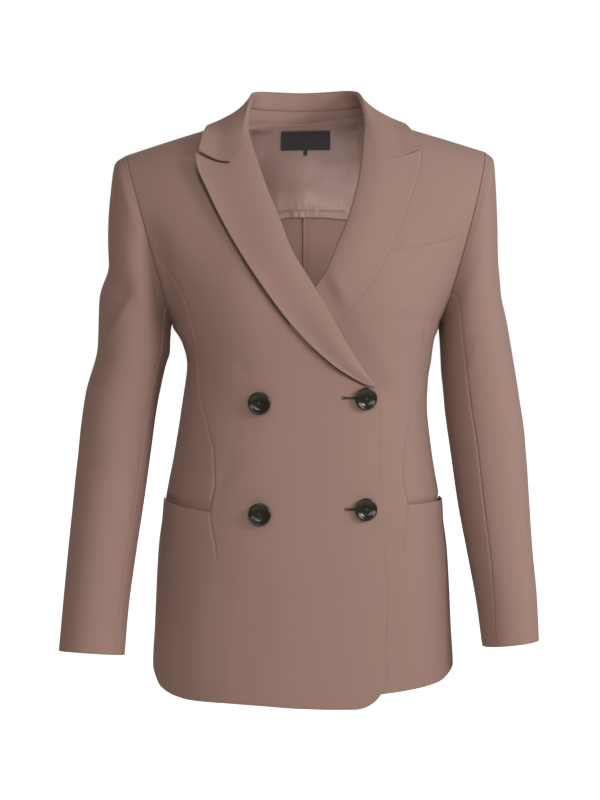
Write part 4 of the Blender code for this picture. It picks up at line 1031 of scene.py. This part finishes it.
along = dense_ends(-1, 1, 220, 0.3)
for name, cad_name, across, keep_along in (
        ("cloth_collar", "collar", dense_ends(COLLAR_SEAM + COLLAR_SLIT, 1, 64), slice(None)),
        ("cloth_collar_stand", "collar_stand", dense_ends(0, COLLAR_SEAM - COLLAR_SLIT, 22),
         slice(14, -14))):
    across, places = np.meshgrid(across, along[keep_along], indexing="ij")
    if cad_name == "collar_stand":
        across = across * (1 - 0.25 * ramp(np.abs(places), 0.6, 0.9))
    outer = gorge_fit(collar_points(places, across), places, across)
    if cad_name == "collar_stand":
        low = (1 - across / COLLAR_SEAM) * ramp(np.abs(places), 0.82, 0.62)
        foot = STAND_LOW.read("height", outer[..., 0]) - 0.0008
        fall = foot - collar_points(places, 0 * across)[..., 2]
        outer = outer + np.stack((0 * low, 0.0010 * low, fall * low), axis=-1)
    normal = unit(np.cross(np.gradient(outer, axis=1), np.gradient(outer, axis=0)))
    edge = ramp(across, 0.84, 1) * ramp(np.abs(places), 0.60, 0.95)
    pressed = groove((across - COLLAR_SEAM) * COLLAR_ACROSS, 0.0008, 0.0014)
    outer = outer + normal * (pressed + COLLAR_EDGE_LIFT * edge)[..., None]
    if cad_name == "collar_stand":
        stand_foot = outer[0, np.abs(places[0]) < 0.65]
        outer = outer - normal * STAND_SINK * ramp(np.abs(places), 0.7, 0.5)[..., None]
    rows, columns = outer.shape[:2]
    lip = np.full(2 * (rows + columns) - 4, THIN_LIP)
    lip[:columns - 1] = SEAM_LIP
    lip[rows + columns - 2:rows + 2 * columns - 3] = COLLAR_LIP
    piece = wall(name, outer, outer - normal * CLOTH, crepe, lip)
    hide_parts(cad_name)
    as_sheet(piece)


# ================================================================ breast welt
# The slanted welt of the breast pocket is a folded strip of crepe, sewn flat on the left front
# along its lower edge and its two ends.
WELT = np.array(((0.0915, -0.1525), (0.1680, -0.1362), (0.1680, -0.1135), (0.1010, -0.1290)))
WELT_HEIGHT = 0.022
WELT_SAG = 0.0014
WELT_LIFT = 0.0012
WELT_BACK = 0.0010
share, up = np.meshgrid(dense_ends(0, 1, 60), dense_ends(0, 1, 26))
low = between(WELT[0], WELT[1], share[..., None])
high = between(WELT[3], WELT[2], share[..., None])
place = between(low, high, up[..., None])
place[..., 1] -= WELT_SAG * np.sin(math.pi * share)
u, level = place_on_front(place[..., 0], place[..., 1])
lie = ramp(share, 0, 0.15) * between(0.7, 1, ramp(share, 0, 0.9)) * ramp(up, 1, 0.3)
outer, _ = front_face(u, level, "left", WELT_LIFT * lie + groove(up * WELT_HEIGHT, 0.0008))
inner, _ = front_face(u, level, "left", -WELT_BACK)
piece = wall("cloth_breast_welt", outer, inner, crepe, THIN_LIP)
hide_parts("breast_welt")
as_sheet(piece)


# ================================================================ half lining
# The upper back is half lined with satin in the same colour. The lining hangs loose inside the
# back and ends in a gathered hem below the shoulder blades.
LINING = 0.0010
LINING_HEM = -0.112
LINING_CLEAR = 0.0034
LINING_FALL = 0.0026
LINING_HALF = 0.157
LINING_TOP = 0.012
BAND = 0.085
# The satin's two shades lie far apart and its slow drift makes broad lighter and darker blotches: painted
# sheen, standing in for the satin's highlights.
satin = cloth_material("satin_lining", (0.420, 0.280, 0.245), (0.225, 0.130, 0.102), 2600, 0.10, 0.36,
                       0.10, 24, 0.85)


def inside_back(u, level, depth, thickness):
    """Outer and inner points of a layer inside the back, a depth below its outer face."""
    base = body(BACK, 1, u, level)
    normal = body_normals(BACK, 1, u, level)
    outer = base - normal * depth[..., None]
    return outer, outer - normal * thickness


def lining_depth(rise):
    """Depth of the half lining's outer side; it hangs looser towards its lower edge."""
    return CLOTH + LINING_CLEAR + LINING_FALL * (1 - rise)


share, rise = np.meshgrid(np.linspace(-0.93, 0.93, 290), dense_ends(0, 1, 66, 0.5))
top = np.minimum(back_top_level(np.abs(share)), LINING_TOP) + 0.0015
x = share * LINING_HALF
hem = LINING_HEM + 0.0045 * bell(share, 0, 0.2) - 0.0036 * ramp(x, -0.006, -0.028)
level = between(hem, top, rise)
band = ramp(rise, BAND, BAND - 0.015)
pucker = np.sin(x * 1150 + 2.2 * np.sin(x * 310)) * (0.6 + 0.4 * np.sin(x * 190 + 1))
gathers = -0.0018 * band * (0.4 + 0.6 * pucker) + 0.0009 * bell(rise, 0.090, 0.012)
gathers += 0.0008 * pucker * bell(rise, 0.090, 0.07) * (1 - band)
gathers += 0.0012 * np.sin(x * 205 + 1.6 * np.sin(x * 80 + 1)) * (1 - rise) ** 2
slack = 0.0016 * np.sin(x * 95 - 30 * level + 1) + 0.0012 * np.sin(x * 60 + level * 85)
gathers += slack * bell(rise, 0.42, 0.20)
outer, inner = inside_back(share, level, lining_depth(rise) + gathers, LINING)
top_x = inner[-1, :, 0].copy()
neck_edge, _ = inside_back(share[-1], back_top_level(np.abs(share[-1])), CLOTH + 0 * top_x, CLOTH)
neck_y = np.minimum(*(np.interp(top_x, line[:, 0], line[:, 1]) for line in (stand_foot, neck_edge)))
neck_y -= 0.0030 + 0.0036 * ramp(np.abs(top_x), 0.035, 0.055)
neck_z = STAND_LOW.read("height", top_x) + 0.0006
to_neck = np.stack((0 * neck_y, neck_y - inner[-1, :, 1], neck_z - inner[-1, :, 2]), axis=-1)
to_neck *= ramp(np.abs(top_x), 0.078, 0.070)[:, None]
hem_level, top_level = level[0].copy(), level[-1].copy()


def neck_pull(at, rise):
    """How far the lining's upper end is drawn to the stand's seam, with a small fold inwards
    over the back's neck edge near both ends."""
    pull = np.stack([np.interp(at, top_x, to_neck[:, axis]) for axis in range(3)], axis=-1)
    power = between(7, 2.5, ramp(np.abs(at), 0.030, 0.050))
    pull = pull * (np.clip(rise, 0, 1) ** power)[..., None]
    pull[..., 1] -= 0.0074 * bell(np.abs(at), 0.060, 0.0155) * bell(rise, 0.953, 0.036)
    return pull


outer, inner = (points + neck_pull(top_x + 0 * x, rise) for points in (outer, inner))
piece = wall("satin_yoke_lining", outer, inner, satin, LINING / 2)
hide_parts("yoke_lining")
as_sheet(piece)


# ================================================================ label and tab
# A bare woven label and a small tab below it, sewn on the lining under the collar.
LABEL_CLEAR = 0.0016
label_weave = cloth_material("label_weave", (0.050, 0.047, 0.050), (0.026, 0.024, 0.026), 2400, 0.4,
                             0.7, 0.05)
for name, cad_name, centre, width, low, high, thickness in (
        ("woven_label", "label", 0.0027, 0.059, -0.0250, -0.0015, 0.0008),
        ("woven_size_tab", "size_tab", 0.0026, 0.0036, -0.0312, -0.0256, 0.0006)):
    x, level = np.meshgrid(np.linspace(centre - width / 2, centre + width / 2, 60),
                           np.linspace(low, high, 24))
    hem_here, top_here = (np.interp(x, top_x, line) for line in (hem_level, top_level))
    rise = (level - hem_here) / (top_here - hem_here)
    depth = lining_depth(rise) + LINING + LABEL_CLEAR
    outer, inner = inside_back(u_at(BACK, 1, x, level), level, depth, thickness)
    outer, inner = (points + neck_pull(x, rise) for points in (outer, inner))
    middle = x.shape[1] // 2
    for points in (outer, inner):
        points[..., 2] = points[:, middle:middle + 1, 2]
    piece = wall(name, outer, inner, label_weave, THIN_LIP)
    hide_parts(cad_name)


# ================================================================ centre back seam allowances
# Below the lining the seam's two allowances show inside the back, graded and pressed to the
# wearer's left.
ALLOWANCE_START = 0.0010
ALLOWANCE_TOP = -0.104
for number, (name, width) in enumerate((("lower", 0.0066), ("upper", 0.0042))):
    x, level = np.meshgrid(np.linspace(ALLOWANCE_START, width, 10),
                           np.linspace(BACK_HEM + 0.004, ALLOWANCE_TOP, 150))
    curl = 0.0007 * (x / width) ** 2 + 0.0016 * bell(x, ALLOWANCE_START, 0.0012)
    depth = CLOTH + GAP + number * (LINING + LAYER) + 0.0002 * np.sin(level * 160 + number) + curl
    outer, inner = inside_back(u_at(BACK, 1, x, level), level, depth, LINING)
    piece = wall("cloth_seam_allowance_" + name, outer, inner, crepe, THIN_LIP)
    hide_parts("seam_allowance_" + name)
    as_sheet(piece)


# ================================================================ buttons and buttonholes
# Four turned buttons of dark horn effect on the right front, each with a raised rim and four
# holes, sewn on with thread. The two at the edge pass through keyhole buttonholes worked with
# close purl stitches.
BUTTON_COLUMN = 0.0590
BUTTON_SHIFT = 0.0020
BUTTON_ROWS = {"upper": -0.3190, "lower": -0.4440}
BUTTON_TILT = 0.0025
BUTTON_PROFILE = np.array(((0.0, 0.0040), (0.0058, 0.0042), (0.0080, 0.0047), (0.0096, 0.0054),
                           (0.0108, 0.0060), (0.0117, 0.0061), (0.0125, 0.0057), (0.0129, 0.0050),
                           (0.0130, 0.0042), (0.0126, 0.0032), (0.0110, 0.0026), (0.0040, 0.0024),
                           (0.0036, 0.0002), (0.0, 0.0002)))
HOLE_PLACE = 0.0019
HOLE_RADIUS = 0.0009
HOLE_DEPTH = 0.0016
THREAD_RADIUS = 0.00033
STITCH_RADIUS = 0.00030
SLIT_RADIUS = 0.00022
THREAD_OFF = 0.00028
BUTTON_CLEAR = {"edge": 0.0011, "inner": 0.0005}
EYELET = 0.0022
STITCH_PITCH = 0.00055
STITCH_LENGTH = 0.0011
BUTTONHOLES = {"upper": (0.0368, -0.3158), "lower": (0.0400, -0.4412)}

horn, shader, tree = new_material("dark_horn", Roughness=0.16, Specular_IOR_Level=0.35)
shade_by(tree, noise(tree, Scale=170, Detail=4, Distortion=1.5), (0.006, 0.005, 0.003),
         (0.034, 0.026, 0.014), shader.inputs["Base Color"])
thread_brown = cloth_material("thread_brown", (0.075, 0.050, 0.036), (0.045, 0.030, 0.022), 3000, 0.3,
                              0.6, 0.10)


def on_right_front(x, z, lift):
    """World points and normals on the right front at the given x and z, lifted off it."""
    u, level = place_on_front(-np.asarray(x, dtype=float), z)
    points, normal = front_face(u, level, "right", lift)
    return tilted(swayed(points, u, level, "right")), mirrored(normal, "right")


def ring_faces(index):
    """Four-sided faces between neighbouring rings of points, each ring closed on itself."""
    nxt = np.roll(index, -1, axis=-1)
    around = (index[..., :-1, :], index[..., 1:, :], nxt[..., 1:, :], nxt[..., :-1, :])
    return np.stack(around, axis=-1).reshape(-1, 4).tolist()


def tubes(name, paths, radius, material, sides=7):
    """Short rods of thread round many paths at once, all in one mesh: paths is an array of
    rods, points along each and their coordinates."""
    way = unit(np.gradient(paths, axis=1))
    side = unit(np.cross(way, (0.31, 0.85, 0.43)))
    up = np.cross(side, way)
    count, length = paths.shape[:2]
    swell = np.sqrt(np.clip(1 - np.linspace(-0.98, 0.98, length) ** 6, 0, 1))
    turns = np.linspace(0, 2 * math.pi, sides, endpoint=False)
    ring = side[:, :, None] * np.cos(turns)[:, None] + up[:, :, None] * np.sin(turns)[:, None]
    points = paths[:, :, None] + ring * (radius * swell)[None, :, None, None]
    index = np.arange(count * length * sides).reshape(count, length, sides)
    caps = index[:, 0].tolist() + index[:, -1, ::-1].tolist()
    return new_piece(name, points.reshape(-1, 3), ring_faces(index) + caps, material)


FACE_ROWS = 30
reach = np.concatenate(([0], np.cumsum(np.linalg.norm(np.diff(BUTTON_PROFILE, axis=0), axis=1))))
along_it = np.concatenate((np.linspace(0, reach[1], FACE_ROWS), np.linspace(reach[1], reach[-1], 62)[1:]))
profile = np.stack([np.interp(along_it, reach, BUTTON_PROFILE[:, axis]) for axis in (0, 1)], axis=-1)
rim = profile[FACE_ROWS - 1:-1]
profile[FACE_ROWS:-2] = (rim[:-2] + 2 * rim[1:-1] + rim[2:]) / 4
turns = np.linspace(0, 2 * math.pi, 96, endpoint=False)
for row, z in BUTTON_ROWS.items():
    for column, way in (("edge", 1), ("inner", -1)):
        centre, normal = on_right_front(BUTTON_SHIFT + way * BUTTON_COLUMN, z + way * BUTTON_TILT,
                                        BUTTON_CLEAR[column])
        side = unit(np.cross((0, 0, 1.0), normal))
        spin = 0.5 + 0.4 * way + (row == "upper")
        side, rise = (side * math.cos(spin) + np.cross(normal, side) * math.sin(spin),
                      np.cross(normal, side) * math.cos(spin) - side * math.sin(spin))
        flat_x = profile[1:-1, 0, None] * np.cos(turns)
        flat_y = profile[1:-1, 0, None] * np.sin(turns)
        height = profile[1:-1, 1, None] + 0 * flat_x
        nearest = np.hypot(np.abs(flat_x) - HOLE_PLACE, np.abs(flat_y) - HOLE_PLACE)
        well = ramp(nearest, 1.2 * HOLE_RADIUS, 0.6 * HOLE_RADIUS)
        height = height - HOLE_DEPTH * well * (np.arange(len(height)) < FACE_ROWS)[:, None]
        points = (centre + flat_x[..., None] * side + flat_y[..., None] * rise
                  + height[..., None] * normal).reshape(-1, 3)
        ends = centre + profile[[0, -1], 1, None] * normal
        index = np.arange(len(points)).reshape(-1, len(turns))
        faces = ring_faces(index)
        top, base = len(points), len(points) + 1
        faces += [(top, a, b) for a, b in zip(index[0].tolist(), np.roll(index[0], -1).tolist())]
        faces += [(base, b, a) for a, b in zip(index[-1].tolist(), np.roll(index[-1], -1).tolist())]
        name = "button_" + row + "_" + column
        piece = new_piece("horn_" + name, np.concatenate((points, ends)), faces, horn)
        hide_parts(name)
        step = np.linspace(-1, 1, 13)
        strands = [(a * HOLE_PLACE, b * HOLE_PLACE, off) for a, b in ((1, 1), (1, -1))
                   for off in (-THREAD_OFF, THREAD_OFF)]
        paths = np.array([[centre + side * (x * t - off * np.sign(y)) + rise * (y * t + off)
                           + normal * (0.0042 + 0.0009 * (1 - t ** 4) - 0.0012 * t ** 8)
                           for t in step] for x, y, off in strands])
        piece = tubes("thread_" + name, paths, THREAD_RADIUS, thread_brown)
    eye_x, eye_z = BUTTONHOLES[row]
    end_x = BUTTON_SHIFT + BUTTON_COLUMN + 0.004
    run = np.arange(eye_x + 0.8 * EYELET, end_x, STITCH_PITCH)
    ring = np.linspace(0.45, 2 * math.pi - 0.45, 22)
    slope = (z + BUTTON_TILT - eye_z) / (end_x - eye_x)
    foot_x = np.concatenate((run, run, eye_x + 0.55 * EYELET * np.cos(ring)))
    foot_z = np.concatenate((slope * (run - eye_x) + 0.0003, slope * (run - eye_x) - 0.0003,
                             0.55 * EYELET * np.sin(ring))) + eye_z
    way_x = np.concatenate((0 * run, 0 * run, np.cos(ring)))
    way_z = np.concatenate((1 + 0 * run, -1 + 0 * run, np.sin(ring)))
    t = np.linspace(0, 1, 6)
    paths, _ = on_right_front(foot_x[:, None] + way_x[:, None] * t * STITCH_LENGTH,
                              foot_z[:, None] + way_z[:, None] * t * STITCH_LENGTH,
                              NEAR + STITCH_RADIUS * np.sin(math.pi * t))
    piece = tubes("thread_buttonhole_" + row, paths, STITCH_RADIUS, thread_brown)
    # A thin rod of the dark horn material lies along each buttonhole's cut: painted shade, standing in for
    # the dark gap of the slit.
    t = np.linspace(eye_x - 0.5 * EYELET, end_x, 40)[None]
    paths, _ = on_right_front(t, eye_z + slope * (t - eye_x), NEAR / 2)
    piece = tubes("slit_shade_buttonhole_" + row, paths, SLIT_RADIUS, horn)
